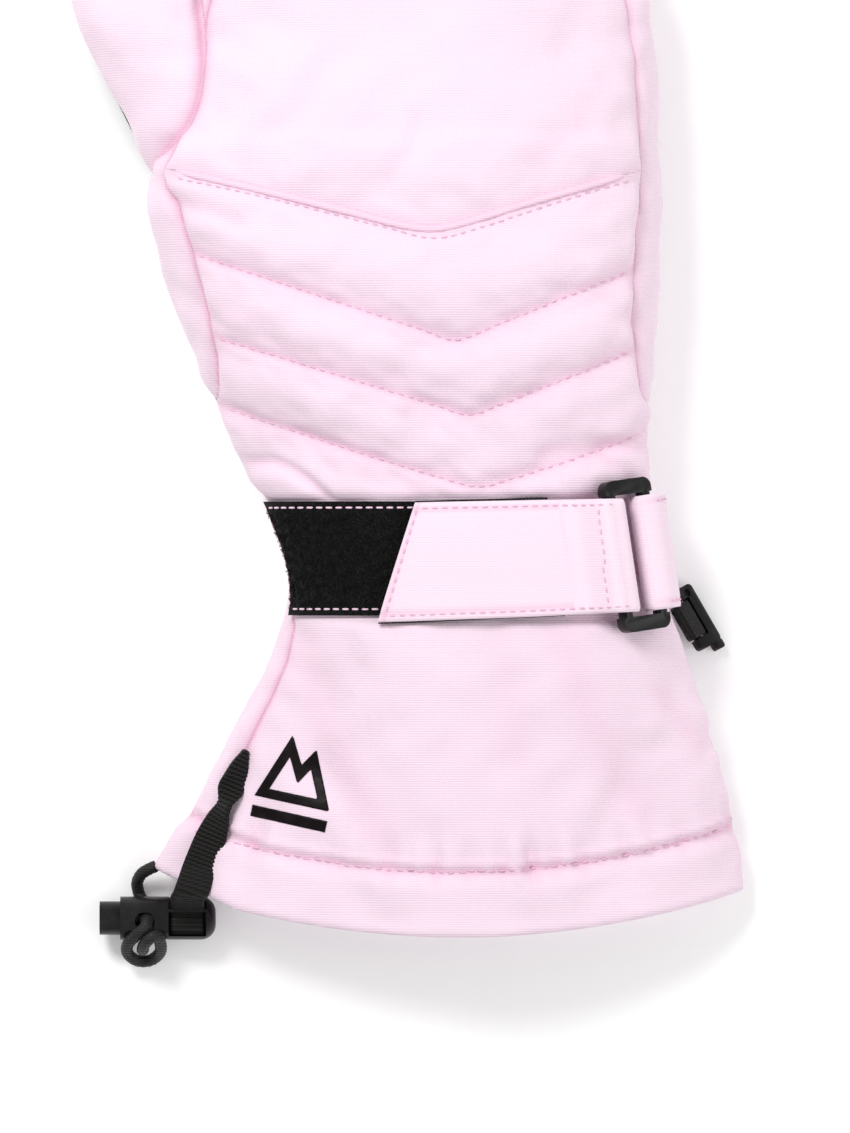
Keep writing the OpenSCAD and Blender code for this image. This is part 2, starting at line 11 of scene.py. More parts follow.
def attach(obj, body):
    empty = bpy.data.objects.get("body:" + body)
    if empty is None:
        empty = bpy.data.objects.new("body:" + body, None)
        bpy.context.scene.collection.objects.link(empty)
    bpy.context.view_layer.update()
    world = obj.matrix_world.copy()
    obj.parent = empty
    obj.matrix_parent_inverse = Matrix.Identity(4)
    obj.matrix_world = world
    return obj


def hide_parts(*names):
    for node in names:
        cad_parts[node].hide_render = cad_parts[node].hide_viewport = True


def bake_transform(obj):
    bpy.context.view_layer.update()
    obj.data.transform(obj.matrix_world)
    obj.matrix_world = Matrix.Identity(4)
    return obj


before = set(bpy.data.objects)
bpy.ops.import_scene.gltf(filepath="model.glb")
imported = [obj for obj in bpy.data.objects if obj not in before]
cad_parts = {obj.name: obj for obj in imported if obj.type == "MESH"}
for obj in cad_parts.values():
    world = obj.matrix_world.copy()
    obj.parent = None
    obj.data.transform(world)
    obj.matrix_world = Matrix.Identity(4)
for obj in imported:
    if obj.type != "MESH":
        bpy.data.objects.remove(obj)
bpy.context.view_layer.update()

# All lengths in this script are millimetres in the shared frame until an object is made.
MM = 0.001
rng = np.random.default_rng(11)
DEG = math.pi / 180


# ---------- camera and light ----------

def link(ob):
    bpy.context.scene.collection.objects.link(ob)
    return ob


def make_camera():
    data = bpy.data.cameras.new("camera")
    data.lens, data.sensor_width = 366.6, 36
    data.clip_start, data.clip_end = 0.1, 20
    cam = link(bpy.data.objects.new("camera", data))
    cam.location = (-6.5 * MM, -1.7 * MM, 3.03)
    bpy.context.scene.camera = cam


def area_light(name, place, size, power):
    """A round soft light aimed at the middle of the scene."""
    data = bpy.data.lights.new(name, "AREA")
    data.shape, data.size, data.energy = "DISK", size, power
    ob = link(bpy.data.objects.new(name, data))
    ob.location = place
    ob.rotation_mode = "QUATERNION"
    ob.rotation_quaternion = (-Vector(place)).to_track_quat("-Z", "Y")


def make_light():
    scene = bpy.context.scene
    scene.world = bpy.data.worlds.new("studio")
    scene.world.use_nodes = True
    back = scene.world.node_tree.nodes["Background"]
    back.inputs["Color"].default_value = (1, 1, 1, 1)
    back.inputs["Strength"].default_value = 0.62
    area_light("key", (-0.45, 0.65, 0.9), 0.45, 9.1)
    area_light("fill", (0.95, -0.25, 0.95), 1.0, 6.3)
    scene.view_settings.view_transform = "Standard"


make_camera()
make_light()


# ---------- materials ----------

def new_material(name, **sockets):
    """A material, its node tree, its shader with the given values, and object coordinates."""
    mat = bpy.data.materials.new(name)
    mat.use_nodes = True
    nt = mat.node_tree
    bsdf = nt.nodes["Principled BSDF"]
    for key, value in sockets.items():
        bsdf.inputs[key.replace("_", " ")].default_value = value
    return mat, nt, bsdf, node(nt, "ShaderNodeTexCoord").outputs["Object"]


def feed(nt, socket, value):
    """Sets a socket's own value, or links a node's output to it."""
    if isinstance(value, (int, float)):
        socket.default_value = value
    elif isinstance(value, tuple):
        socket.default_value = (*value, 1)
    else:
        nt.links.new(value, socket)


def node(nt, kind, **values):
    n = nt.nodes.new(kind)
    for key, value in values.items():
        setattr(n, key, value)
    return n


def bands(nt, coord, axis, period_mm):
    wave = node(nt, "ShaderNodeTexWave", wave_type="BANDS", bands_direction=axis)
    wave.inputs["Scale"].default_value = 2 * math.pi / (20 * period_mm * MM)
    nt.links.new(coord, wave.inputs["Vector"])
    return wave.outputs["Fac"]


def noise(nt, coord, size_mm, detail=3.0):
    n = node(nt, "ShaderNodeTexNoise")
    n.inputs["Scale"].default_value = 1 / (size_mm * MM)
    n.inputs["Detail"].default_value = detail
    nt.links.new(coord, n.inputs["Vector"])
    return n.outputs["Fac"]


def maths(nt, kind, a, b):
    n = node(nt, "ShaderNodeMath", operation=kind)
    feed(nt, n.inputs[0], a)
    feed(nt, n.inputs[1], b)
    return n.outputs[0]


def mix_colour(nt, fac, a, b):
    n = node(nt, "ShaderNodeMix", data_type="RGBA")
    feed(nt, n.inputs["Factor"], fac)
    for key, v in (("A", a), ("B", b)):
        feed(nt, [i for i in n.inputs if i.name == key and i.type == "RGBA"][0], v)
    return [o for o in n.outputs if o.type == "RGBA"][0]


def remap(nt, value, low, high, to_low=0.0, to_high=1.0):
    n = node(nt, "ShaderNodeMapRange")
    keys = ("Value", "From Min", "From Max", "To Min", "To Max")
    for key, v in zip(keys, (value, low, high, to_low, to_high)):
        feed(nt, n.inputs[key], v)
    return n.outputs["Result"]


def add_bump(nt, bsdf, height, distance_mm, strength=1.0):
    bump = node(nt, "ShaderNodeBump")
    bump.inputs["Strength"].default_value = strength
    bump.inputs["Distance"].default_value = distance_mm * MM
    nt.links.new(height, bump.inputs["Height"])
    nt.links.new(bump.outputs["Normal"], bsdf.inputs["Normal"])


# per-point painted shade that darkens creases, grooves and hollows
def painted_shade_of(nt):
    return node(nt, "ShaderNodeAttribute", attribute_name="painted_shade").outputs["Fac"]


def woven(name, light, deep, rib=0.62, thread=0.44, relief=0.07, sheen=0.25, rough=0.78, gloss=0.3):
    """Plain weave with fine cross ribs; deep gives the darker thread tone and is the painted shade colour in creases
    and grooves.
    """
    mat, nt, bsdf, coord = new_material(name, Sheen_Weight=sheen, Sheen_Roughness=0.5, Specular_IOR_Level=gloss)
    across, lengthwise = bands(nt, coord, "Y", rib), bands(nt, coord, "X", thread)
    slub, soft = noise(nt, coord, 1.3, 4), noise(nt, coord, 30, 2)
    tone = mix_colour(nt, remap(nt, soft, 0.3, 0.7), light, tuple(c * 0.965 for c in light))
    threads = maths(nt, "MULTIPLY", remap(nt, maths(nt, "ADD", across, slub), 0.5, 1.5), 0.36)
    tone = mix_colour(nt, threads, tone, tuple(0.6 * a + 0.4 * b for a, b in zip(light, deep)))
    # painted shade: the colour turns to deep where the painted shade attribute is high
    feed(nt, bsdf.inputs["Base Color"], mix_colour(nt, painted_shade_of(nt), tone, deep))
    feed(nt, bsdf.inputs["Roughness"], remap(nt, slub, 0.2, 0.8, rough - 0.06, rough + 0.08))
    height = maths(nt, "ADD", maths(nt, "MULTIPLY", across, 0.8), maths(nt, "MULTIPLY", lengthwise, 0.25))
    add_bump(nt, bsdf, maths(nt, "ADD", height, maths(nt, "MULTIPLY", slub, 0.5)), relief)
    return mat


def plastic(name, colour, grain=0.03, rough=0.3, gloss=0.22):
    mat, nt, bsdf, coord = new_material(name, Specular_IOR_Level=gloss)
    fine, wear = noise(nt, coord, 0.45, 3), noise(nt, coord, 5, 4)
    worn = tuple(c * 1.7 + 0.003 for c in colour)
    feed(nt, bsdf.inputs["Base Color"], mix_colour(nt, remap(nt, wear, 0.45, 0.75), colour, worn))
    feed(nt, bsdf.inputs["Roughness"], remap(nt, wear, 0.2, 0.8, rough - 0.08, rough + 0.12))
    add_bump(nt, bsdf, fine, grain)
    return mat


def fuzzy(name, dark, light, size=0.7, relief=0.5, rough=0.95, sheen=0.6):
    mat, nt, bsdf, coord = new_material(name, Roughness=rough, Sheen_Weight=sheen, Specular_IOR_Level=0.12)
    lump, broad = noise(nt, coord, size, 6), noise(nt, coord, size * 9, 2)
    tone = mix_colour(nt, remap(nt, lump, 0.42, 0.72), dark, light)
    feed(nt, bsdf.inputs["Base Color"], mix_colour(nt, remap(nt, broad, 0.3, 0.8, 0, 0.4), tone, dark))
    add_bump(nt, bsdf, lump, relief)
    return mat


def leather(name, dark, light):
    mat, nt, bsdf, coord = new_material(name, Specular_IOR_Level=0.22)
    cells = node(nt, "ShaderNodeTexVoronoi", feature="SMOOTH_F1")
    cells.inputs["Scale"].default_value = 1 / (1.5 * MM)
    nt.links.new(coord, cells.inputs["Vector"])
    grain = cells.outputs["Distance"]
    fine, broad = noise(nt, coord, 0.6, 5), noise(nt, coord, 18, 3)
    tone = mix_colour(nt, remap(nt, grain, 0.1, 0.6), light, dark)
    tone = mix_colour(nt, remap(nt, broad, 0.35, 0.75, 0, 0.5), tone, light)
    # painted shade: half the dark tone where the painted shade attribute marks creases and seams
    feed(nt, bsdf.inputs["Base Color"], mix_colour(nt, painted_shade_of(nt), tone, tuple(c * 0.5 for c in dark)))
    feed(nt, bsdf.inputs["Roughness"], remap(nt, fine, 0.2, 0.8, 0.5, 0.72))
    height = maths(nt, "ADD", maths(nt, "MULTIPLY", grain, -0.8), maths(nt, "MULTIPLY", fine, 0.4))
    add_bump(nt, bsdf, height, 0.16)
    return mat


def metal(name, dark, light):
    mat, nt, bsdf, coord = new_material(name, Metallic=1.0)
    scratch = noise(nt, coord, 0.3, 4)
    feed(nt, bsdf.inputs["Base Color"], mix_colour(nt, scratch, dark, light))
    feed(nt, bsdf.inputs["Roughness"], remap(nt, scratch, 0.3, 0.7, 0.22, 0.4))
    return mat


PINK = (0.82, 0.66, 0.765)
# painted shade colour of the pink cloth's creases and grooves, also its darker thread tone
PINK_SHADE_AND_WEAVE = (0.72, 0.41, 0.55)
SEWING = dict(rib=0.3, thread=0.3, relief=0.02, sheen=0.1, rough=0.6)

mats = {
    "shell": woven("shell_fabric", PINK, PINK_SHADE_AND_WEAVE),
    "strap": woven("strap_fabric", (0.835, 0.675, 0.775), PINK_SHADE_AND_WEAVE, relief=0.05),
    "thread": woven("pink_thread", (0.74, 0.46, 0.61), (0.45, 0.22, 0.34), **SEWING),
    "pale_thread": woven("pale_thread", (0.80, 0.58, 0.70), (0.5, 0.3, 0.4), **SEWING),
    "dark_thread": woven("dark_thread", (0.03, 0.028, 0.03), (0.012, 0.011, 0.012), **SEWING),
    "web": woven("black_webbing", (0.015, 0.014, 0.013), (0.002, 0.002, 0.002), rib=0.5, thread=0.7,
                 relief=0.12, sheen=0.02, rough=0.5, gloss=0.13),
    "cord": woven("elastic_cord", (0.013, 0.012, 0.012), (0.004, 0.004, 0.004), rib=0.7, thread=0.6,
                  relief=0.1, sheen=0.03, rough=0.5, gloss=0.25),
    "elastic": woven("elastic_band", (0.75, 0.74, 0.73), (0.5, 0.5, 0.5), rib=1.1, thread=0.8, relief=0.15),
    "lining": woven("lining_cloth", (0.62, 0.43, 0.53), (0.42, 0.25, 0.33), rib=0.4, thread=0.4,
                    relief=0.03, rough=0.6),
    "membrane": woven("membrane", (0.62, 0.66, 0.70), (0.4, 0.44, 0.5), rib=0.9, thread=0.9,
                      relief=0.02, sheen=0.0, rough=0.4),
    "wadding": fuzzy("wadding", (0.62, 0.62, 0.58), (0.82, 0.82, 0.78), size=2.5, relief=0.9),
    "fleece": fuzzy("fleece", (0.50, 0.33, 0.42), (0.76, 0.56, 0.66), size=1.6, relief=0.7),
    "loop": fuzzy("loop_pile", (0.002, 0.002, 0.002), (0.016, 0.014, 0.014), size=0.55, sheen=0.04),
    "hook": fuzzy("hook_tape", (0.004, 0.004, 0.004), (0.03, 0.03, 0.03), size=0.5, relief=0.3,
                  rough=0.5, sheen=0.0),
    "leather": leather("palm_leather", (0.011, 0.010, 0.011), (0.026, 0.024, 0.025)),
    "plastic": plastic("black_plastic", (0.007, 0.0065, 0.0065)),
    "film": plastic("print_film", (0.006, 0.004, 0.0045), grain=0.012, rough=0.36, gloss=0.08),
    "steel": metal("spring_steel", (0.45, 0.45, 0.46), (0.65, 0.65, 0.66)),
}


# ---------- paths and grids ----------

def unit(v):
    return v / np.maximum(np.linalg.norm(v, axis=-1, keepdims=True), 1e-9)


def run_of(path):
    """Length along a path at each of its points."""
    return np.concatenate([[0], np.cumsum(np.linalg.norm(np.diff(path, axis=0), axis=1))])


def point_at(values, run, at):
    """Values carried by a path's points, at given lengths along it."""
    return np.stack([np.interp(at, run, values[:, k]) for k in range(values.shape[1])], -1)


# ---------- the hand's shape, as in the CAD source ----------

# y, left side, right side, top, height of the side, roundness of the back
stations = np.array([
    [-106, -89, 83, 31, 6, 1.55], [-84, -78, 77, 32, 6, 1.6], [-64, -66.5, 74, 34, 8, 1.7],
    [-42, -54.5, 67.5, 36, 11, 1.9], [-22, -45, 61, 38, 14, 2.1], [-6, -42, 55.5, 38, 16, 2.3],
    [12, -46.8, 52, 38, 17, 2.4], [30, -55.5, 51.5, 40, 18, 2.4], [50, -65, 52.5, 45, 19, 2.4],
    [75, -74, 53.5, 48, 20, 2.4], [100, -78.5, 54, 49, 20, 2.4], [120, -72, 53.3, 48, 20, 2.4],
    [140, -69, 51.5, 46, 20, 2.4], [210, -62, 46, 46, 20, 2.4]])
HAND, ROUND = 200.0, 140.0      # the fingertips, and where the sides start to close
PALM_ROUND = 2.6
lo_i = np.maximum(np.arange(len(stations)) - 1, 0)
hi_i = np.minimum(np.arange(len(stations)) + 1, len(stations) - 1)
slopes = (stations[hi_i] - stations[lo_i]) / (stations[hi_i, :1] - stations[lo_i, :1])


def along(y, k):
    y = np.asarray(y, float)
    i = np.clip(np.searchsorted(stations[:, 0], y, side="right") - 1, 0, len(stations) - 2)
    h = stations[i + 1, 0] - stations[i, 0]
    t = (y - stations[i, 0]) / h
    return ((2 * t**3 - 3 * t**2 + 1) * stations[i, k] + (t**3 - 2 * t**2 + t) * h * slopes[i, k]
            + (3 * t**2 - 2 * t**3) * stations[i + 1, k] + (t**3 - t**2) * h * slopes[i + 1, k])


def half_and_middle(y):
    """Half the hand's width at y, and the middle between its sides."""
    lo, hi = along(y, 1), along(y, 2)
    return (hi - lo) / 2, (hi + lo) / 2


def closing(y, d):
    f = np.clip((np.asarray(y, float) - ROUND) / (HAND - d - ROUND), 0, 1)
    return np.sqrt(1 - f**2.2)


def skin(a, y, d):
    a, y, d = np.broadcast_arrays(np.asarray(a, float), y, d)
    w, m = half_and_middle(y)
    zs, q = along(y, 4), closing(y, d)
    qz = q**0.7
    up = np.sin(a) >= -1e-12
    n = np.where(up, along(y, 5), PALM_ROUND)
    sx = np.sign(np.cos(a)) * np.abs(np.cos(a))**(2 / n)
    sz = np.abs(np.sin(a))**(2 / n)
    high = zs + (along(y, 3) - zs - d) * qz * sz
    low = np.maximum(zs - (zs - d) * qz, zs - (zs * 1.12 - d) * qz * sz)
    return np.stack([m + (w - d) * q * sx, y, np.where(up, high, low)], -1)


def back_z(x, y, d):
    """Height of the back's surface over a plan position, d outside it."""
    w, m = half_and_middle(y)
    n, zs = along(y, 5), along(y, 4)
    r = np.minimum(1, np.abs(x - m) / (w + d))
    return zs + (along(y, 3) + d - zs) * (1 - r**n)**(1 / n)


def even_ring(y, d, low, count):
    """Points evenly spaced along the upper or lower half of the section at y."""
    a = np.linspace(0, math.pi, 500) + (math.pi if low else 0)
    p = skin(a, y, d)
    s = run_of(p)
    if s[-1] < 1e-6:
        return np.repeat(p[:1], count + 1, 0)
    return point_at(p, s, np.linspace(0, s[-1], count + 1))


def grid_faces(rows, cols, wrap=False):
    r, c = np.meshgrid(np.arange(rows - 1), np.arange(cols if wrap else cols - 1), indexing="ij")
    a, b = r * cols + c, r * cols + (c + 1) % cols
    e, f = a + cols, b + cols
    return np.concatenate([np.stack(t, -1).reshape(-1, 3) for t in ((a, b, f), (a, f, e))])


def grid_normals(g, wrap=False):
    du = np.roll(g, -1, 1) - np.roll(g, 1, 1) if wrap else np.gradient(g, axis=1)
    n = np.cross(np.gradient(g, axis=0), du)
    length = np.linalg.norm(n, axis=-1, keepdims=True)
    return np.where(length > 1e-9, n / np.maximum(length, 1e-9), [0, 1, 0])


def hand_grids(d, step, cols, y0=-105.0):
    """Upper and lower grids of the hand's surface, with matching normals along the sides."""
    t = np.linspace(0, 1, int(70 / step))
    ys = np.concatenate([np.arange(y0, ROUND, step), ROUND + (HAND - ROUND) * (1 - (1 - t)**1.8)])
    ys = np.where(ys > ROUND, ROUND + (ys - ROUND) * (HAND - d - ROUND) / (HAND - ROUND), ys)
    up, low = (np.array([even_ring(y, d, under, cols) for y in ys]) for under in (False, True))
    nu, nl = grid_normals(up), grid_normals(low)
    for i, j in ((0, -1), (-1, 0)):
        nu[:, i] = nl[:, j] = unit(nu[:, i] + nl[:, j])
    nu[-1] = nl[-1] = (0, 1, 0)
    return up, nu, low, nl


def hand_ring(d, step, cols, y0=-105.0):
    """The hand's surface as one grid closed round each section, with its normals and faces."""
    up, nu, low, nl = hand_grids(d, step, cols, y0)
    ring, normal = (np.concatenate([a[:, :-1], b[:, :-1]], 1) for a, b in ((up, low), (nu, nl)))
    return ring, normal, grid_faces(len(ring), ring.shape[1], True)[:, ::-1]


THUMB_A, THUMB_B, THUMB_C = np.array([-44.0, 62]), np.array([-56.0, 110]), np.array([-94.0, 167])
THUMB_Z, THUMB_W, THUMB_H, THUMB_RUN = 19.0, 20.5, 17.5, 105


def thumb_axis(t):
    t = np.asarray(t)[..., None]
    return (1 - t)**2 * THUMB_A + 2 * t * (1 - t) * THUMB_B + t * t * THUMB_C


def thumb_size(s, t, d, least=0.0):
    """Half width and half height of the thumb, which is rounded over its last part."""
    taper = 1 - 0.12 * t
    end = np.where(s < 0.7, 1, np.sqrt(np.maximum(least, 1 - np.maximum(0, (s - 0.7) / 0.3)**2.2)))
    return (THUMB_W * taper - d) * end, (THUMB_H * taper - d) * end**0.8


def thumb_grid(d, rows, sides):
    s = 1 - (1 - np.linspace(0, 1, rows))**1.35
    t = s * (1 - d / THUMB_RUN)
    p = thumb_axis(t)
    q = unit(2 * (1 - t)[:, None] * (THUMB_B - THUMB_A) + 2 * t[:, None] * (THUMB_C - THUMB_B))
    w, h = thumb_size(s, t, d)
    a = -2 * math.pi * np.arange(sides) / sides
    side = w[:, None] * np.cos(a)
    g = np.stack([p[:, :1] + q[:, 1:] * side, p[:, 1:] - q[:, :1] * side,
                  THUMB_Z + h[:, None] * np.sin(a)], -1)
    n = -grid_normals(g, True)
    n[-1] = np.append(q[-1], 0)
    return g, n


def outside_hand(p, d=0.0):
    """About how far each point is outside the hand's surface, less than 0 inside."""
    x, y, z = p.T
    w, m = half_and_middle(y)
    zs, top, n = along(y, 4), along(y, 3), along(y, 5)
    q = np.maximum(closing(y, d), 1e-3)
    r = np.abs(x - m) / np.maximum((w - d) * q, 1e-3)
    up = np.maximum(z - zs, 0) / np.maximum((top - zs - d) * q**0.7, 1e-3)
    dn = np.maximum(zs - z, 0) / np.maximum((zs * 1.12 - d) * q**0.7, 1e-3)
    high = (r**n + up**n)**(1 / n)
    low = (r**PALM_ROUND + dn**PALM_ROUND)**(1 / PALM_ROUND)
    return (np.where(z >= zs, high, low) - 1) * 20


def outside_thumb(p, d=0.0):
    """About how far each point is outside the thumb's surface, less than 0 inside."""
    t = np.linspace(0, 1 - d / THUMB_RUN, 60)
    axis = thumb_axis(t)
    i = np.argmin(np.linalg.norm(p[:, None, :2] - axis[None], axis=2), axis=1)
    q = unit(np.gradient(axis, axis=0))[i]
    rel = p[:, :2] - axis[i]
    across = rel[:, 0] * q[:, 1] - rel[:, 1] * q[:, 0]
    ahead = (rel * q).sum(1)
    w, h = thumb_size(t[i] / t[-1], t[i], d, 1e-4)
    body = (np.sqrt((across / w)**2 + ((p[:, 2] - THUMB_Z) / h)**2) - 1) * np.minimum(w, h)
    return np.where((i == 0) & (ahead < 0), np.maximum(body, -ahead), body)


# ---------- cutting surfaces into panels ----------

def densify(line, step=1.0):
    line = np.asarray(line, float)
    out = []
    for a, b in zip(line[:-1], line[1:]):
        n = max(1, int(np.linalg.norm(b - a) / step))
        out += [a + (b - a) * k / n for k in range(n)]
    return np.array(out + [line[-1]])


def smooth_line(points, step=1.0):
    """Catmull-Rom curve through the points, sampled about every step."""
    p = np.asarray(points, float)
    out = []
    for i in range(len(p) - 1):
        a, b, c, e = p[max(i - 1, 0)], p[i], p[i + 1], p[min(i + 2, len(p) - 1)]
        n = max(2, int(np.linalg.norm(c - b) / step))
        t = (np.arange(n) / n)[:, None]
        out.append(0.5 * (2 * b + (c - a) * t + (2 * a - 5 * b + 4 * c - e) * t**2 + (3 * b - a - 3 * c + e) * t**3))
    return np.concatenate(out + [p[-1:]])


def line_distance(xy, line):
    line = np.asarray(line, float)
    best = np.full(len(xy), 1e9)
    for a, b in zip(line[:-1], line[1:]):
        e = b - a
        t = np.clip(((xy - a) @ e) / max(e @ e, 1e-12), 0, 1)
        best = np.minimum(best, np.linalg.norm(xy - a - t[:, None] * e, axis=1))
    return best


def inside(xy, outline):
    """Signed distance to a closed outline in plan, above 0 inside."""
    outline = np.asarray(outline, float)
    x, y = xy.T
    odd = np.zeros(len(xy), bool)
    for (x0, y0), (x1, y1) in zip(outline, np.roll(outline, -1, 0)):
        cross = (y0 > y) != (y1 > y)
        with np.errstate(divide="ignore", invalid="ignore"):
            odd ^= cross & (x < (x1 - x0) * (y - y0) / (y1 - y0) + x0)
    d = line_distance(xy, np.concatenate([outline, outline[:1]]))
    return np.where(odd, d, -d)


def clip(v, f, value):
    """The part of a triangle mesh where value is 0 or more. Columns of v are carried along the cuts."""
    ok = value >= 0
    k = ok[f]
    count = k.sum(1)
    keep = [f[count == 3]]
    ones, twos = f[count == 1], f[count == 2]
    i1, i2 = np.argmax(k[count == 1], 1), np.argmin(k[count == 2], 1)

    def turned(t, i):
        r = np.arange(len(t))
        return t[r, i], t[r, (i + 1) % 3], t[r, (i + 2) % 3]

    a1, b1, c1 = turned(ones, i1)
    a2, b2, c2 = turned(twos, i2)
    pairs = np.concatenate([np.stack(p, -1) for p in ((a1, b1), (a1, c1), (a2, b2), (a2, c2))])
    if len(pairs) == 0:
        return v, keep[0]
    pairs = np.sort(pairs, 1)
    edges, index = np.unique(pairs, axis=0, return_inverse=True)
    index = index.ravel()
    va, vb = value[edges[:, 0]], value[edges[:, 1]]
    t = (va / (va - vb))[:, None]
    fresh = v[edges[:, 0]] * (1 - t) + v[edges[:, 1]] * t
    index = index + len(v)
    n1, n2 = len(a1), len(a2)
    ab1, ac1 = index[:n1], index[n1:2 * n1]
    ab2, ac2 = index[2 * n1:2 * n1 + n2], index[2 * n1 + n2:]
    keep.append(np.stack([a1, ab1, ac1], -1))
    keep.append(np.stack([ab2, b2, c2], -1))
    keep.append(np.stack([ab2, c2, ac2], -1))
    return np.concatenate([v, fresh]), np.concatenate(keep)


def used_only(v, f):
    used, back = np.unique(f, return_inverse=True)
    return v[used], back.reshape(f.shape)


def tidy(v, f, close=1e-4):
    """Joins vertices in the same place and drops what is no longer used."""
    key = np.round(v[:, :3] / close).astype(np.int64)
    _, first, index = np.unique(key, axis=0, return_index=True, return_inverse=True)
    f = index.ravel()[f]
    f = f[(f[:, 0] != f[:, 1]) & (f[:, 1] != f[:, 2]) & (f[:, 0] != f[:, 2])]
    return used_only(v[first], f)


def rim_edges(f):
    e = np.concatenate([f[:, [0, 1]], f[:, [1, 2]], f[:, [2, 0]]])
    key = np.sort(e, 1)
    _, first, count = np.unique(key, axis=0, return_index=True, return_counts=True)
    return e[first[count == 1]]


# Seams in plan, millimetres
seam_thumb_side = [(-72, 27), (-64, 36), (-60.6, 42.5), (-61.2, 50), (-63.4, 62), (-67.8, 80), (-71.5, 92.5),
                   (-74.6, 99.8), (-70, 111), (-67, 120), (-63, 145), (-54, 168), (-38, 185)]
seam_outer_side = [(20, 186), (37, 169), (46, 146), (49, 119), (49.8, 99.5), (48.4, 75), (49.1, 55),
                   (51.2, 42), (60, 37)]
piping_line = [(-72.6, 101.3), (-56, 97.4), (-40, 93.5), (-24, 89.5), (-13, 86.7), (-5, 85.6), (3, 87), (22, 93),
               (36, 97), (48, 100.8)]
knuckle_line = [(-90, 106)] + piping_line + [(70, 107)]
gauntlet_seam = [(-39, 0), (-41.6, -15.6), (-45.5, -31), (-53.5, -50.5), (-62.4, -73), (-68, -92), (-72, -110)]
palm_seam_left = [(-66, 30), (-60, 48), (-66, 70), (-68, 92), (-62, 112), (-58, 140), (-50, 162), (-34, 180)]
palm_seam_right = [(18, 181), (34, 163), (43, 141), (45, 110), (44, 75), (47, 48), (58, 30)]


def outline(before, curve, after):
    """A closed outline with a smooth curve between straight ends."""
    return np.concatenate([np.array(part, float) for part in (before, smooth_line(curve, 3.0), after) if len(part)])


back_area = outline([(-100, -8), (-100, 24)], seam_thumb_side + [(-12, 195)] + seam_outer_side, [(100, 38), (100, -8)])
palm_area = outline([(-100, -8), (-100, 30)], palm_seam_left + [(-10, 189)] + palm_seam_right, [(100, 30), (100, -8)])
above_knuckles = outline([], knuckle_line, [(110, 260), (-110, 260)])
patch_area = outline([], [(-40, 34), (-50, 60), (-46, 78), (-40, 96), (-46, 125), (-40, 152), (-22, 166), (6, 166),
                          (26, 152), (33, 125), (34, 60), (26, 34)], [])
gusset_area = outline([], gauntlet_seam, [(-130, -110), (-130, 0)])
# The hem is an arc with one corner cut off
HEM_C, HEM_R = np.array([2.0, 152.0]), 250.0
CORNER = np.array([[-58.0, -90], [-84.0, -77.6]])
CORNER_IN = np.array([12.4, 26.0]) / math.hypot(12.4, 26.0)
HEM_SEWN = 17.0                 # from the hem's edge to its stitches
FINE = 1.1                      # step of the shell's surface


def hem_value(xy, depth=0.0):
    """Distance inside the curve of the hem."""
    r = HEM_R - depth - np.linalg.norm(xy - HEM_C, axis=1)
    return np.minimum(r, (xy - CORNER[0]) @ CORNER_IN - depth)


def with_normals(g, n):
    return np.concatenate([g, n], -1).reshape(-1, 6)


def hand_surface():
    up, nu, low, nl = hand_grids(0.0, FINE, 120)
    f = grid_faces(*up.shape[:2])[:, ::-1]
    return (with_normals(up, nu), f), (with_normals(low, nl), f)


def cut(surface, *rules):
    v, f = surface
    for rule in rules:
        v, f = clip(v, f, rule(v[:, :3]))
    return tidy(v, f)


def joined(*parts):
    v = np.concatenate([p[0] for p in parts])
    offsets = np.cumsum([0] + [len(p[0]) for p in parts[:-1]])
    f = np.concatenate([p[1] + o for p, o in zip(parts, offsets)])
    return tidy(v, f)


def flip(rule):
    return lambda p: -rule(p)


def plan(area):
    return lambda p: inside(p[:, :2], area)


in_back, in_palm, in_patch = plan(back_area), plan(palm_area), plan(patch_area)
in_gusset, above = plan(gusset_area), plan(above_knuckles)
hand = lambda p: p[:, 1] + 3
cuff = lambda p: -3 - p[:, 1]
hem = lambda p: hem_value(p[:, :2])
off_hand = lambda p: outside_hand(p) + 2.0
left = lambda p: -12 - p[:, 0]
low_y = lambda p: 117 - p[:, 1]
thumb_top = lambda p: p[:, 2] - THUMB_Z


def build_panels():
    upper, lower = hand_surface()
    thumb = (with_normals(*thumb_grid(0.0, 110, 110)), grid_faces(110, 110, True))
    side = joined(cut(upper, hand, flip(in_back), outside_thumb), cut(lower, hand, flip(in_palm), outside_thumb))
    return {
        "back_hand_panel": cut(upper, hand, in_back, flip(above), outside_thumb),
        "finger_back_panel": cut(upper, hand, in_back, above, outside_thumb),
        "thumb_side_gusset": cut(side, left, low_y),
        "finger_side_gusset": cut(side, left, flip(low_y)),
        "outer_side_gusset": cut(side, flip(left)),
        "palm_panel": cut(lower, hand, in_palm, flip(in_patch), outside_thumb),
        "palm_reinforcement": cut(lower, hand, in_patch, outside_thumb),
        "thumb_back_panel": cut(thumb, off_hand, thumb_top),
        "thumb_palm_panel": cut(thumb, off_hand, flip(thumb_top)),
        "gauntlet_back_panel": cut(upper, cuff, flip(in_gusset), hem),
        "gauntlet_side_gusset": joined(cut(upper, cuff, in_gusset, hem), cut(lower, cuff, in_gusset, hem)),
        "gauntlet_palm_panel": cut(lower, cuff, flip(in_gusset), hem),
    }


panels = build_panels()


# ---------- relief of the sewn and filled fabric ----------

def tree_of(points):
    tree = KDTree(len(points))
    for i, p in enumerate(points):
        tree.insert(p, i)
    tree.balance()
    return tree


def seam_points():
    out = []
    for v, f in panels.values():
        e = rim_edges(f)
        out += [v[e[:, 0], :3], (v[e[:, 0], :3] + v[e[:, 1], :3]) / 2]
    out = np.concatenate(out)
    return out[(out[:, 1] > -50) | (hem_value(out[:, :2]) > 0.5)]


seam_tree = tree_of(seam_points())


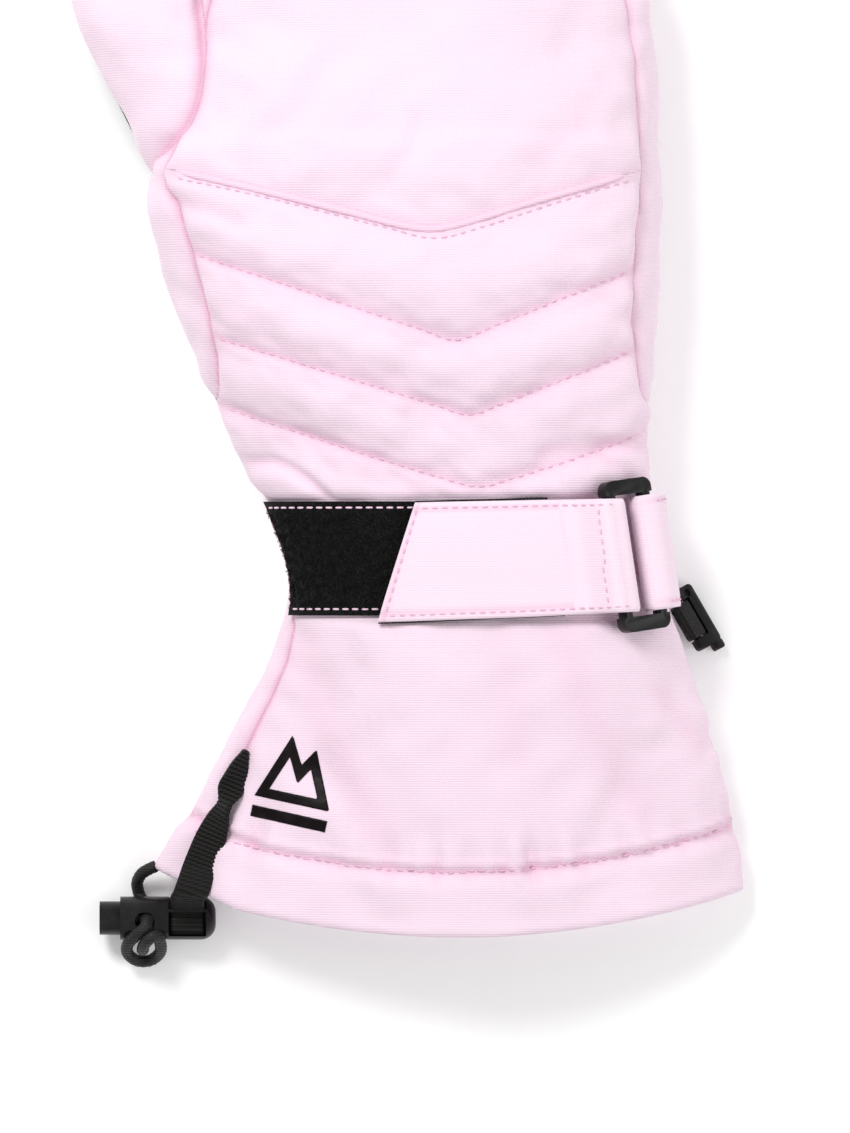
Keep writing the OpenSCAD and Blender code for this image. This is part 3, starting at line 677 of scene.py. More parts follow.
quilt_lines = [smooth_line(line, 2) for line in (
    [(-75.4, 82.4), (-67.6, 79.8), (-33.8, 68.4), (-7.8, 59.8), (1.3, 56.9), (10.4, 60.1), (28.6, 67.6),
     (48.4, 75.4), (54.6, 78)],
    [(-68.9, 60.6), (-62.1, 58.2), (-31.2, 48.6), (-5.2, 40.6), (4.4, 37.7), (13, 40.3), (31.2, 47.6),
     (49.4, 55.1), (55.1, 57.5)],
    [(-65, 42.1), (-58.2, 39.5), (-28.6, 29.6), (-2.1, 21.3), (7.3, 19), (16.1, 21.1), (33.8, 26.8),
     (52, 33.8), (57.2, 35.9)])]
knuckle_stitch = smooth_line([(-78, 100.6), (-74.6, 99.8), (-49.4, 94.1), (-18.2, 86.3), (-5.2, 83.2), (5.2, 85),
                              (28.6, 92.8), (49.7, 99.3), (54.6, 100.9)], 2)


def ripple(p, count, low, high, seed):
    """A sum of plane waves with lengths from low to high."""
    g = np.random.default_rng(seed)
    k = unit(g.normal(size=(count, 3))) * (2 * math.pi / g.uniform(low, high, count))[:, None]
    phase, amp = g.uniform(0, 2 * math.pi, count), g.uniform(0.5, 1, count)
    return (np.sin(p @ k.T + phase) * amp).sum(1) / math.sqrt(count)


def gauss(x, w):
    return np.exp(-(x / w)**2)


def smoothstep(x, a, b):
    t = np.clip((x - a) / (b - a), 0, 1)
    return t * t * (3 - 2 * t)


# Soft folds of the back: (points in plan, height, width)
folds = [
    ([(-48.9, -20.8), (-52.5, -36.4), (-61.1, -59.8)], 1.5, 5.0),
    ([(-39, -23.4), (-31.2, -46.8), (-18.2, -70.2)], -0.9, 9.0),
    ([(-7.8, -20.8), (-2.6, -41.6), (1.3, -70.2)], 0.7, 11.0),
    ([(28.6, -20.8), (36.4, -41.6), (49.4, -65)], -0.8, 9.0),
    ([(49.4, -23.4), (59.8, -44.2), (68.9, -67.6)], 0.9, 7.0),
    ([(53.3, -33.8), (65, -48.1)], -0.9, 4.5),
    ([(13, -23.4), (18.2, -52)], -0.5, 10.0),
    ([(-52, 25.8), (-46, 26), (-41, 24.2), (-35.5, 20.5), (-31.5, 16.5)], -1.5, 1.5),
    ([(-51, 22), (-45, 22), (-40.5, 20), (-37, 16.5)], 1.1, 3.0),
    ([(-30, 25), (-18, 21), (-6, 17)], -0.7, 3.5),
    ([(18.2, 16.9), (39, 23.9), (53.3, 23.4)], 0.8, 4.0),
    ([(24, 27.5), (36, 30), (50, 29.5)], -0.8, 2.6),
    ([(39, 27.3), (50.7, 18.2)], -0.8, 2.6),
    ([(-71, 93), (-63, 91), (-54, 87.5)], -0.9, 2.4),
    ([(-70, 97.5), (-60, 95.5), (-50, 92.5)], 0.5, 2.6),
    ([(-65, 67.6), (-49.4, 62.4)], -0.5, 4.0),
    ([(39, 67.6), (52, 59.8)], -0.5, 4.0),
    ([(-44, 56), (-28, 51.5), (-14, 47.5)], -0.5, 3.0),
    ([(-40, 33), (-28, 30.5), (-18, 26.5)], -0.6, 2.6),
    ([(-16, 99), (-11, 106), (-9, 114)], -0.6, 3.0),
    ([(22, 104), (32, 112), (38, 124)], -0.7, 5.0),
    ([(-52, 108), (-40, 118), (-32, 132)], -0.7, 6.0),
    ([(-4, 124), (2, 142), (-2, 160)], 0.6, 9.0),
]
sim = {"tree": None}


def relief(p, n):
    """How far the finished fabric stands out from the plain surface, and the painted shade of its seams, creases and
    folds.
    """
    d = np.array([seam_tree.find(q)[2] for q in p])
    up = smoothstep(n[:, 2], -0.1, 0.35)
    y, xy = p[:, 1], p[:, :2]
    near = (y > 5) & (n[:, 2] > -0.1)
    knuckle = np.full(len(p), 1e9)
    knuckle[near] = line_distance(xy[near], above_knuckles[:-2])
    quilt = np.full(len(p), 1e9)
    for line in quilt_lines:
        quilt[near] = np.minimum(quilt[near], line_distance(xy[near], line))
    on_back = np.zeros(len(p))
    on_back[near] = smoothstep(inside(xy[near], back_area), -0.5, 2.5)
    # seams between the panels: shallow under the piping and where the gusset runs out
    share = 1 - 0.72 * gauss(knuckle, 5.0) * up
    share *= 1 - 0.85 * gauss(np.linalg.norm(xy - [-61, 38], axis=1), 7.0)
    groove = gauss(d, 1.9) * share
    out = 0.9 * smoothstep(d, 0.5, 14) * (1 - 0.5 * gauss(knuckle, 7.0)) - 1.1 * groove
    # painted shade along the panel seams, weaker at the knuckle seam, where the gusset runs out and towards the right
    # side
    painted_shade = 0.85 * gauss(d, 0.85) * (1 - 0.8 * gauss(knuckle, 3.0)) + 0.22 * gauss(d, 3.0)
    painted_shade *= 1 - gauss(np.linalg.norm(xy - [-64, 37], axis=1), 7.0)
    painted_shade *= 1 - 0.35 * smoothstep(p[:, 0], 34, 47)
    out += (0.1 + 0.22 * up) * ripple(p, 18, 6, 10, 5) * gauss(d - 3.5, 4.0)
    # quilting on the back of the hand
    zone = up * on_back * smoothstep(y, 12, 22) * smoothstep(112 - y, 0, 6)
    puff = 1.25 * smoothstep(quilt, 0.3, 9) - 0.85 * gauss(quilt, 1.4)
    out += zone * (puff + 0.3 * ripple(p, 18, 4.5, 9, 8) * gauss(quilt - 2.5, 3.2))
    out -= zone * 0.35 * gauss(line_distance(xy, knuckle_stitch), 0.9)
    # painted shade along the quilting lines
    painted_shade += zone * (0.45 * gauss(quilt, 0.75) + 0.16 * gauss(quilt - 1.5, 2.2))
    # stitched hem: a welt, the stitched groove, puckers across it and the rolled edge
    h = hem_value(xy)
    run = (HEM_R - HEM_SEWN) * np.arctan2(xy[:, 1] - HEM_C[1], xy[:, 0] - HEM_C[0])
    pucker = ripple(np.stack([run, 0 * run, 0 * run], -1), 26, 3.0, 8.0, 17)
    zone = smoothstep(-y, 55, 62)
    band = h - HEM_SEWN
    flat = zone * (0.1 + 0.9 * up)
    out += flat * (-0.75 * gauss(band, 1.1) + 0.75 * gauss(band - 2.0, 0.8) + 1.1 * smoothstep(-band, 0.5, 5))
    out += flat * pucker * (1.15 * gauss(band - 2.5, 5.5) * (band > -0.5) + 0.7 * gauss(band, 4.0) * (band <= -0.5))
    # painted shade in the hem's stitched groove and in the hollows of its puckers
    painted_shade += zone * (0.4 * gauss(band, 0.8) + 0.22 * gauss(band - 0.8, 2.0))
    painted_shade += zone * 0.3 * np.clip(-pucker, 0, 1) * gauss(band, 4.5)
    out -= zone * 1.0 * (1 - np.sqrt(1 - (1 - np.clip(h / 1.8, 0, 1))**2))
    # folds and broad waves, none of them on the outline of the mitten
    top = smoothstep(n[:, 2], 0.25, 0.75)
    for line, height, width in folds:
        line = np.array(line)
        m = np.abs(xy - line.mean(0)).max(1) < 80
        t = line_distance(xy[m], line)
        out[m] += top[m] * height * gauss(t, width)
        # painted shade in the hollow folds
        painted_shade[m] += top[m] * 0.22 * max(-height, 0) * gauss(t, width * 0.6)
    out += (0.2 + 0.5 * up) * ripple(p, 14, 28, 60, 3) + (0.03 + 0.23 * up) * ripple(p, 22, 9, 18, 4)
    wrist = gauss(y - 1, 26)
    fold = np.sin(p[:, 0] * 0.42 + 1.3 * ripple(p, 10, 25, 60, 9))
    out += 0.32 * fold * wrist * up
    if sim["tree"] is not None:
        out += simulated(p)
    # the palm lies on the table, and the strap holds the wrist down
    down = smoothstep(-n[:, 2], 1.35, 0.3)
    out = np.where(n[:, 2] < -0.3, np.minimum(out, 0.3) * down - 0.25 * gauss(d, 2.0), out)
    held = up * smoothstep(17.5 - np.abs(y - 0.3), 0, 2.5) * smoothstep(p[:, 0], -62, -56)
    out = out * (1 - held) + held * (-0.45 - 0.2 * groove)
    clip_zone = gauss(np.linalg.norm(p - [56, -12, 14], axis=1), 9)
    out = out * (1 - clip_zone) - 0.3 * clip_zone
    floor = np.where(zone > 0.5, -1.1, -2.0)
    return np.clip(out, floor, 3.6), np.clip(painted_shade, 0, 1)


def simulated(p):
    out = np.zeros(len(p))
    for i, q in enumerate(p):
        total = weight = 0.0
        for _, j, dist in sim["tree"].find_n(q, 6):
            w = math.exp(-(dist / 4.0)**2) + 1e-6
            total += w * sim["move"][j]
            weight += w
        out[i] = total / weight
    return out


# ---------- making objects ----------

def new_object(name, v, f, material, painted_shade=None):
    """A smooth object; f is an array of triangles, or a list where the faces differ in size."""
    mesh = bpy.data.meshes.new(name)
    v = np.asarray(v, float) * MM
    if isinstance(f, np.ndarray):
        mesh.vertices.add(len(v))
        mesh.vertices.foreach_set("co", v.astype(np.float32).ravel())
        mesh.loops.add(f.size)
        mesh.loops.foreach_set("vertex_index", f.astype(np.int32).ravel())
        mesh.polygons.add(len(f))
        mesh.polygons.foreach_set("loop_start", np.arange(0, f.size, f.shape[1], dtype=np.int32))
        mesh.update(calc_edges=True)
        mesh.validate()
    else:
        mesh.from_pydata(v.tolist(), [], f)
        mesh.update()
    mesh.polygons.foreach_set("use_smooth", np.ones(len(mesh.polygons), bool))
    # painted shade per point, read by the materials to darken creases and grooves
    if painted_shade is not None:
        at = mesh.attributes.new("painted_shade", "FLOAT", "POINT")
        at.data.foreach_set("value", np.asarray(painted_shade, np.float32))
    mesh.materials.append(mats[material])
    return link(bpy.data.objects.new(name, mesh))


def thick_sheet(outer, f, inner):
    """Closed faces between an outer skin and an inner one with the same triangles."""
    e = rim_edges(f)
    n = len(outer)
    a, b = e.T
    wall = np.concatenate([np.stack([b, a, a + n], -1), np.stack([b, a + n, b + n], -1)])
    return np.concatenate([outer, inner]), np.concatenate([f, f[:, ::-1] + n, wall])


def apply_modifiers(ob):
    mesh = bpy.data.meshes.new_from_object(ob.evaluated_get(bpy.context.evaluated_depsgraph_get()))
    ob.modifiers.clear()
    ob.data = mesh
    return mesh


def mesh_values(mesh, key):
    values = np.empty(len(mesh.vertices) * 3)
    mesh.vertices.foreach_get(key, values)
    return values.reshape(-1, 3)


def done(ob, body, *nodes, slot=None):
    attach(ob, body)
    if nodes:
        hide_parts(*nodes)
    return ob


# ---------- cloth simulation of the filled mitten ----------

def simulate():
    """Fills and slightly shrinks the sewn shape, and keeps how far each point moves outwards."""
    ring, _, f = hand_ring(0.0, 5.0, 44)
    g, _ = thumb_grid(0.0, 28, 36)
    first = ring.size // 3
    faces = f.tolist() + [list(range(ring.shape[1]))]
    faces += (grid_faces(28, 36, True) + first).tolist() + [[first + i for i in range(36)][::-1]]
    ob = new_object("filled_shape", np.concatenate([ring.reshape(-1, 3), g.reshape(-1, 3)]), faces, "shell")
    mod = ob.modifiers.new("remesh", "REMESH")
    mod.mode = "VOXEL"
    mod.voxel_size = 4.6 * MM
    mesh = apply_modifiers(ob)
    start, normal = mesh_values(mesh, "co") / MM, mesh_values(mesh, "normal")
    pins = ob.vertex_groups.new(name="pins")
    for i, p in enumerate(start):
        held = seam_tree.find(p)[2] < 3.2 or p[2] < 1.2 or p[1] < -100 or abs(p[1]) < 16
        if not held and p[2] > 20 and 10 < p[1] < 110:
            held = any(np.min(np.linalg.norm(line - p[:2], axis=1)) < 2.8
                       for line in quilt_lines + [knuckle_stitch])
        if held:
            pins.add([i], 1.0, "REPLACE")
    cloth = ob.modifiers.new("cloth", "CLOTH")
    for key, value in dict(vertex_group_mass="pins", quality=6, mass=0.25, tension_stiffness=22,
                           compression_stiffness=18, shear_stiffness=12, bending_stiffness=0.6,
                           use_pressure=True, uniform_pressure_force=4.0, shrink_min=-0.055).items():
        setattr(cloth.settings, key, value)
    cloth.settings.effector_weights.gravity = 0
    cloth.collision_settings.use_collision = False
    cloth.collision_settings.use_self_collision = False
    cloth.point_cache.frame_start, cloth.point_cache.frame_end = 1, 20
    scene = bpy.context.scene
    for i in range(1, 21):
        scene.frame_set(i)
        bpy.context.evaluated_depsgraph_get()
    end = mesh_values(ob.evaluated_get(bpy.context.evaluated_depsgraph_get()).data, "co") / MM
    scene.frame_set(1)
    bpy.data.objects.remove(ob)
    move = ((end - start) * normal).sum(1)
    # capped softly, at 1.8 mm outwards and 0.9 mm inwards
    sim["move"] = 0.6 * np.where(move > 0, 3.0 * np.tanh(move / 3.0), 1.5 * np.tanh(move / 1.5))
    sim["tree"] = tree_of(start)


simulate()

LEATHER_PANELS = ("palm_reinforcement", "thumb_palm_panel")


def build_shell():
    """Makes the panels, and a tree of their outer surface for what is laid on it."""
    points, faces, count = [], [], 0
    for name, (v, f) in panels.items():
        p, n = v[:, :3], unit(v[:, 3:6])
        # relief, and painted shade for the seams, quilting, hem and folds, kept on both skins
        out, painted_shade = relief(p, n)
        if name == "thumb_palm_panel":
            out = np.minimum(out, -0.2)
        outer = p + n * out[:, None]
        outer[:, 2] = np.maximum(outer[:, 2], 0.05)
        dark = name in LEATHER_PANELS
        vv, ff = thick_sheet(outer, f, outer - n * 1.0)
        ob = new_object(name, vv, ff, "leather" if dark else "shell", np.concatenate([painted_shade, painted_shade]))
        done(ob, "mitten", name, slot="palm_leather" if dark else "shell_fabric")
        points.append(outer)
        faces.append(f + count)
        count += len(outer)
    return BVHTree.FromPolygons(np.concatenate(points).tolist(), np.concatenate(faces).tolist())


shell_tree = build_shell()


def drop(x, y, low=False):
    """Point and normal of the finished shell above or below a plan position."""
    start, way = ((x, y, -60), (0, 0, 1)) if low else ((x, y, 120), (0, 0, -1))
    hit, n, _, _ = shell_tree.ray_cast(Vector(start), Vector(way))
    if hit is None:
        return None, None
    if (n.z < 0) != low:
        n = -n
    return np.array(hit), np.array(n)


# ---------- stitches, cords and ribbons ----------

def frames_of(path):
    """Side and up vectors along a path, without twist."""
    t = unit(np.gradient(path, axis=0))
    ref = np.array([0, 0, 1.0]) if abs(t[0][2]) < 0.9 else np.array([1.0, 0, 0])
    side = np.cross(t[0], ref)
    sides = []
    for k in range(len(path)):
        side = unit(side - (side @ t[k]) * t[k])
        sides.append(side)
    return np.array(sides), np.cross(sides, t)


def swept(path, radius, sides):
    """A closed round tube along a path; radius may change along it and round it."""
    u, w = frames_of(path)
    a = 2 * math.pi * np.arange(sides)[:, None] / sides
    r = np.broadcast_to(radius, (len(path), sides))[..., None]
    ring = path[:, None] + r * (np.cos(a) * u[:, None] + np.sin(a) * w[:, None])
    caps = [list(range(sides)), [(len(path) - 1) * sides + i for i in range(sides)][::-1]]
    return ring.reshape(-1, 3), grid_faces(len(path), sides, True)[:, ::-1].tolist() + caps


class Pile:
    """Many small pieces that become one object."""

    def __init__(self):
        self.v, self.f, self.n = [], [], 0

    def add(self, v, f):
        self.v.append(np.asarray(v))
        self.f.append(np.asarray(f) + self.n)
        self.n += len(v)

    def make(self, name, material):
        return new_object(name, np.concatenate(self.v), np.concatenate(self.f), material)


def stitch(pile, a, b, up, radius):
    """One thread segment from a to b that dips into the cloth at both ends."""
    t = b - a
    length = np.linalg.norm(t)
    t = t / length
    side = np.cross(t, up)
    side /= max(np.linalg.norm(side), 1e-9)
    rise = np.cross(side, t)
    k = np.array([0.0, 0.12, 0.35, 0.65, 0.88, 1.0])
    lift = np.array([-0.32, -0.02, 0.12, 0.12, -0.02, -0.32]) * radius / 0.26
    r = radius * np.array([0.45, 0.9, 1.0, 1.0, 0.9, 0.45])
    ang = (2 * math.pi * np.arange(6) / 6)[:, None]
    c = a + k[:, None] * length * t + lift[:, None] * rise
    ring = c[:, None] + r[:, None, None] * (np.cos(ang) * side * 1.25 + np.sin(ang) * rise)
    f = grid_faces(6, 6, True)[:, ::-1]
    caps = np.array([[0, 1, 2], [0, 2, 3], [0, 3, 4], [0, 4, 5]])
    f = np.concatenate([f, caps, (caps + 30)[:, ::-1]])
    pile.add(ring.reshape(-1, 3), f)


def stitch_on_shell(pile, line, pitch=2.7, length=1.8, radius=0.19, low=False, jitter=0.12):
    line = densify(line, 0.5)
    s = run_of(line)
    at = pitch * 0.4
    while at + length < s[-1]:
        step = [point_at(line, s, q) + rng.normal(0, jitter * 0.4, 2) for q in (at, at + length)]
        (a, na), (b, nb) = (drop(*q, low) for q in step)
        at += pitch * (1 + rng.normal(0, 0.03))
        if a is None or b is None or abs(a[2] - b[2]) > 2.2:
            continue
        stitch(pile, a, b, na + nb, radius)


def stitch_on_points(pile, points, normals, pitch=2.6, length=1.75, radius=0.19):
    s = run_of(points)
    at = pitch * 0.4
    while at + length < s[-1]:
        a, b = (point_at(points, s, q) for q in (at, at + length))
        stitch(pile, a, b, point_at(normals, s, at + length / 2), radius)
        at += pitch


def solid_from_mid(mid, normal, thick):
    """Closed ribbon: a mid surface as a grid, its normals and its thickness at each point."""
    half = (np.broadcast_to(thick, mid.shape[:2]) / 2)[..., None]
    top, low = mid + normal * half, mid - normal * half
    return thick_sheet(top.reshape(-1, 3), grid_faces(*mid.shape[:2]), low.reshape(-1, 3))


def edge_round(n, share=0.12, least=0.35):
    """Thickness factor across a ribbon of n points with rounded edges."""
    w = np.abs(np.linspace(-1, 1, n))
    t = np.clip((w - (1 - share)) / share, 0, 1)
    return np.maximum(np.sqrt(np.maximum(0, 1 - t * t)), least)


# ---------- topstitching ----------

INSIDE_SEAM = 1.2      # stitch lines stop this far from the panel's seams
HEM_THREAD = dict(length=2.0, radius=0.24)

pink_pile = Pile()
for line in quilt_lines:
    stitch_on_shell(pink_pile, line[inside(line, back_area) > INSIDE_SEAM])
stitch_on_shell(pink_pile, knuckle_stitch[inside(knuckle_stitch, back_area) > INSIDE_SEAM], pitch=2.6, length=1.7)
angle = np.linspace(-math.pi, 0, 700)
hem_line = HEM_C + (HEM_R - HEM_SEWN) * np.stack([np.cos(angle), np.sin(angle)], -1)
hem_line = hem_line[(hem_line[:, 1] < -60) & (hem_line[:, 1] > -96)]
hem_line = hem_line[(hem_line[:, 0] > -71) & (hem_line[:, 0] < 75)]
stitch_on_shell(pink_pile, hem_line, jitter=0.5, **HEM_THREAD)
stitch_on_shell(pink_pile, hem_line, low=True, **HEM_THREAD)
corner_line = CORNER + HEM_SEWN * CORNER_IN
stitch_on_shell(pink_pile, corner_line[0] + (corner_line[1] - corner_line[0]) * [[0.35], [0.75]], **HEM_THREAD)
# beside the seams of the palm
stitch_on_shell(pink_pile, densify(np.array(palm_seam_left[1:6]) + [2.2, 0]), low=True)
stitch_on_shell(pink_pile, densify(np.array(palm_seam_right[:6]) - [2.2, 0]), low=True)
done(pink_pile.make("topstitching", "thread"), "mitten", slot="shell_fabric")

dark_pile = Pile()
border = patch_area + (patch_area.mean(0) - patch_area) * 0.045
stitch_on_shell(dark_pile, densify(np.concatenate([border, border[:1]])), low=True)
done(dark_pile.make("palm_stitching", "dark_thread"), "mitten", slot="palm_leather")


# ---------- knuckle piping ----------

def relax(path, rounds):
    for _ in range(rounds):
        path[1:-1] = (path[:-2] + 2 * path[1:-1] + path[2:]) / 4


def make_piping():
    path = []
    for x, y in smooth_line(piping_line, 1.0):
        p, _ = drop(x, y)
        path.append(p if p is not None else np.array([x, y, back_z(x, y, 0.6)]))
    path = np.array(path)
    relax(path, 8)
    count = len(path)
    near_end = np.minimum(np.arange(count), np.arange(count)[::-1])
    lift = 0.05 - 0.7 * (1 - smoothstep(near_end, 0, 9))
    for i, q in enumerate(path):
        hit, n, _, _ = shell_tree.find_nearest(Vector(q))
        path[i] = np.array(hit) + np.array(n) * lift[i] * (1 if n.z > 0 else -1)
    relax(path, 3)
    radius = (0.8 + 0.04 * np.sin(np.arange(count) * 1.7)) * (0.5 + 0.5 * smoothstep(near_end, 0, 7))
    v, f = swept(path, radius[:, None], 14)
    centre = np.repeat(path, 14, 0)
    v = centre + (v - centre) * [1, 1.35, 0.55]
    # painted shade on the piping, heavier on its flanks
    shade = np.clip(0.15 + 0.55 * np.abs(v[:, 1] - centre[:, 1]), 0, 0.6)
    done(new_object("knuckle_piping", v, f, "shell", shade), "mitten", "knuckle_piping", slot="shell_fabric")


make_piping()


# ---------- emblem ----------

def make_emblem():
    """A generic mark: two peaks over a bar, laid on the finished fabric."""
    turn = np.array([[math.cos(-12 * DEG), -math.sin(-12 * DEG)], [math.sin(-12 * DEG), math.cos(-12 * DEG)]])
    outer = [(-10, -5.5), (-3.4, 12), (0.4, 4.8), (3.4, 9.6), (10, -5.5)]
    hole = [(-6.5, -3), (-3, 6.2), (0.3, -0.2), (3, 4.2), (6.3, -3)]
    bar = [(-10, -11), (10, -11), (10, -8), (-10, -8)]
    xs, ys = np.meshgrid(np.arange(-11, 11.01, 0.5), np.arange(-12, 13.01, 0.5))
    sheet = np.stack([xs, ys, np.zeros_like(xs)], -1).reshape(-1, 3), grid_faces(*xs.shape)
    in_bar, in_outer, in_hole = plan(bar), plan(outer), plan(hole)
    v, f = joined(cut(sheet, in_outer, flip(in_hole)), cut(sheet, in_bar))
    top = np.empty((len(v), 3))
    for i, (x, y) in enumerate(v[:, :2] @ turn.T + [-40, -58]):
        p, n = drop(x, y)
        top[i] = p + n * 0.16
    vv, ff = thick_sheet(top, f, top - [0, 0, 0.3])
    done(new_object("emblem", vv, ff, "film"), "mitten", "emblem", slot="print_film")


make_emblem()


# ---------- wrist strap, hook tape, tab ----------

RING = np.array([47.8, 1.3, 35.2])
TURN, SLOPE = 8.5 * DEG, 36 * DEG
BAR = 5.6              # from the ring's middle to each bar
BAR_CLEAR = 3.4        # radius of the fabric's middle round a bar
STRAP_WIDTH = 30.4
E1 = np.array([math.cos(TURN), math.sin(TURN)])
E2 = np.array([-math.sin(TURN), math.cos(TURN)])
bar_left = np.array([-BAR * math.cos(SLOPE), RING[2] + BAR * math.sin(SLOPE)])
bar_right = np.array([BAR * math.cos(SLOPE), RING[2] - BAR * math.sin(SLOPE)])


def from_bar(x, y):
    return bar_left + [x * math.cos(SLOPE) + y * math.sin(SLOPE), y * math.cos(SLOPE) - x * math.sin(SLOPE)]


def across_at(s, top, low):
    """Distance along the bars at which the plan lines top and low are met, at s from the ring."""
    result = []
    for line in (low, top):
        line = np.array(line, float)
        v = np.zeros_like(s)
        for _ in range(4):
            x = RING[0] + s * E1[0] - v * math.sin(TURN)
            v = (np.interp(x, line[:, 0], line[:, 1]) - RING[1] - s * E1[1]) / math.cos(TURN)
        result.append(v)
    return result


def band_grid(free_low, free_top, top, low, s_end, depth, tail, count, width):
    """Mid surface of a strap: a leg over the wrist from its slanted free end, then a fixed tail in (s, z)."""
    w = np.linspace(0, 1, width)
    ends = np.array(free_low)[None] * (1 - w[:, None]) + np.array(free_top)[None] * w[:, None]
    s0 = (ends - RING[:2]) @ E1
    t = np.linspace(0, 1, count)
    s = s0[None] + (s_end - s0[None]) * t[:, None]
    z = back_z(RING[0] + s, RING[1], depth)
    if tail is not None:
        tail = np.array(tail)
        s = np.concatenate([s, np.repeat(tail[:, :1], width, 1)])
        z = np.concatenate([z, np.repeat(tail[:, 1:], width, 1)])
    v_low, v_top = across_at(s, top, low)
    v = v_low + (v_top - v_low) * w[None]
    mid = np.stack([RING[0] + s * E1[0] + v * E2[0], RING[1] + s * E1[1] + v * E2[1], z], -1)
    ds, dz = np.gradient(s, axis=0), np.gradient(z, axis=0)
    length = np.maximum(np.sqrt(ds**2 + dz**2), 1e-9)
    n2 = np.stack([-dz / length, ds / length], -1)
    normal = np.stack([n2[..., 0] * E1[0], n2[..., 0] * E1[1], n2[..., 1]], -1)
    return mid, normal, w


TOP = [(-9.1, 14.9), (20, 15.5), (62, 16.2)]
LOW = [(-18.8, -16.2), (20, -14.8), (62, -12.7)]


def strap_tail():
    pts = [[-17.8, float(back_z(30.0, 1.3, 4.1))], [-13.0, float(back_z(34.8, 1.3, 4.1)) + 0.5]]
    pts += [from_bar(-4.2, 3.1), from_bar(-1.6, 3.38)]
    arc = [from_bar(BAR_CLEAR * math.sin(a), BAR_CLEAR * math.cos(a)) for a in np.linspace(0, math.pi, 26)]
    back = [from_bar(-2.2, -2.7), [-11.2, float(back_z(36.6, 1.3, 2.35)) + 0.2],
            [-14.0, float(back_z(33.8, 1.3, 2.42))], [-17.6, float(back_z(30.2, 1.3, 2.42))]]
    line = np.array([list(p) for p in pts + arc + back])
    return smooth_line(line, 0.8)[1:]


def make_strap():
    tail = strap_tail()
    mid, normal, w = band_grid((-18.8, -16.2), (-9.1, 14.9), TOP, LOW, -17.8, 4.1, tail, 90, 40)
    rows = mid.shape[0]
    wobble = 0.22 * ripple(mid.reshape(-1, 3), 12, 14, 40, 21).reshape(rows, -1)
    leg = np.arange(rows)[:, None] < 90
    pillow = 0.18 * np.sin(np.clip((w - 0.06) / 0.88, 0, 1) * math.pi)[None]
    edge_line = np.minimum(w, 1 - w) * STRAP_WIDTH
    groove = 0.28 * gauss(edge_line - 2.0, 0.7)[None]
    first = np.arange(rows)[:, None] * 0.8
    groove = groove + 0.28 * gauss(first - 2.0, 0.9) * leg
    mid = mid + normal * ((wobble + pillow - 0.6 * groove) * leg)[..., None]
    thick = np.where(leg, 1.5, 1.35) * edge_round(40, 0.09, 0.4)[None] * np.ones((rows, 1))
    thick[:2] *= np.array([0.45, 0.85])[:, None]
    thick = thick - groove * leg
    v, f = solid_from_mid(mid, normal, thick)
    # painted shade in the stitched grooves near the strap's edges and end
    painted_shade = np.clip(groove * leg * 1.6, 0, 1) * np.ones_like(thick)
    ob = new_object("wrist_strap", v, f[:, ::-1], "strap", np.concatenate([painted_shade.ravel()] * 2))
    done(ob, "strap", "wrist_strap", slot="shell_fabric")
    top = mid + normal * (thick / 2)[..., None]
    pile = Pile()
    lo_c, hi_c = (int(np.argmin(np.abs(w * STRAP_WIDTH - at))) for at in (1.9, 28.5))
    for part in ((slice(3, 109), lo_c), (slice(3, 109), hi_c), (3, slice(lo_c, hi_c + 1))):
        stitch_on_points(pile, top[part], normal[part])
    # the line that closes the fold round the ring
    line, line_n = [], []
    for j in range(lo_c, hi_c + 1):
        x_want = 41.4 - 2.6 * (j - lo_c) / (hi_c - lo_c)
        i = int(np.argmin(np.abs(mid[:110, j, 0] - x_want)))
        line.append(top[i, j])
        line_n.append(normal[i, j])
    stitch_on_points(pile, np.array(line), np.array(line_n))
    done(pile.make("strap_stitching", "thread"), "strap", slot="shell_fabric")


make_strap()


def make_hook():
    mid, normal, _ = band_grid((-18.6, -16.6), (-9.0, 15.3), [(-9, 15.3), (28, 16.3)],
                               [(-18.6, -16.6), (28, -14.6)], -20.2, 2.9, None, 60, 30)
    thick = 0.85 * edge_round(30, 0.06, 0.6)[None] * np.ones((60, 1))
    v, f = solid_from_mid(mid, normal, thick)
    ob = new_object("hook_tape", v, f[:, ::-1], "hook")
    done(ob, "strap", "hook_tape", slot="hook_plastic")


make_hook()


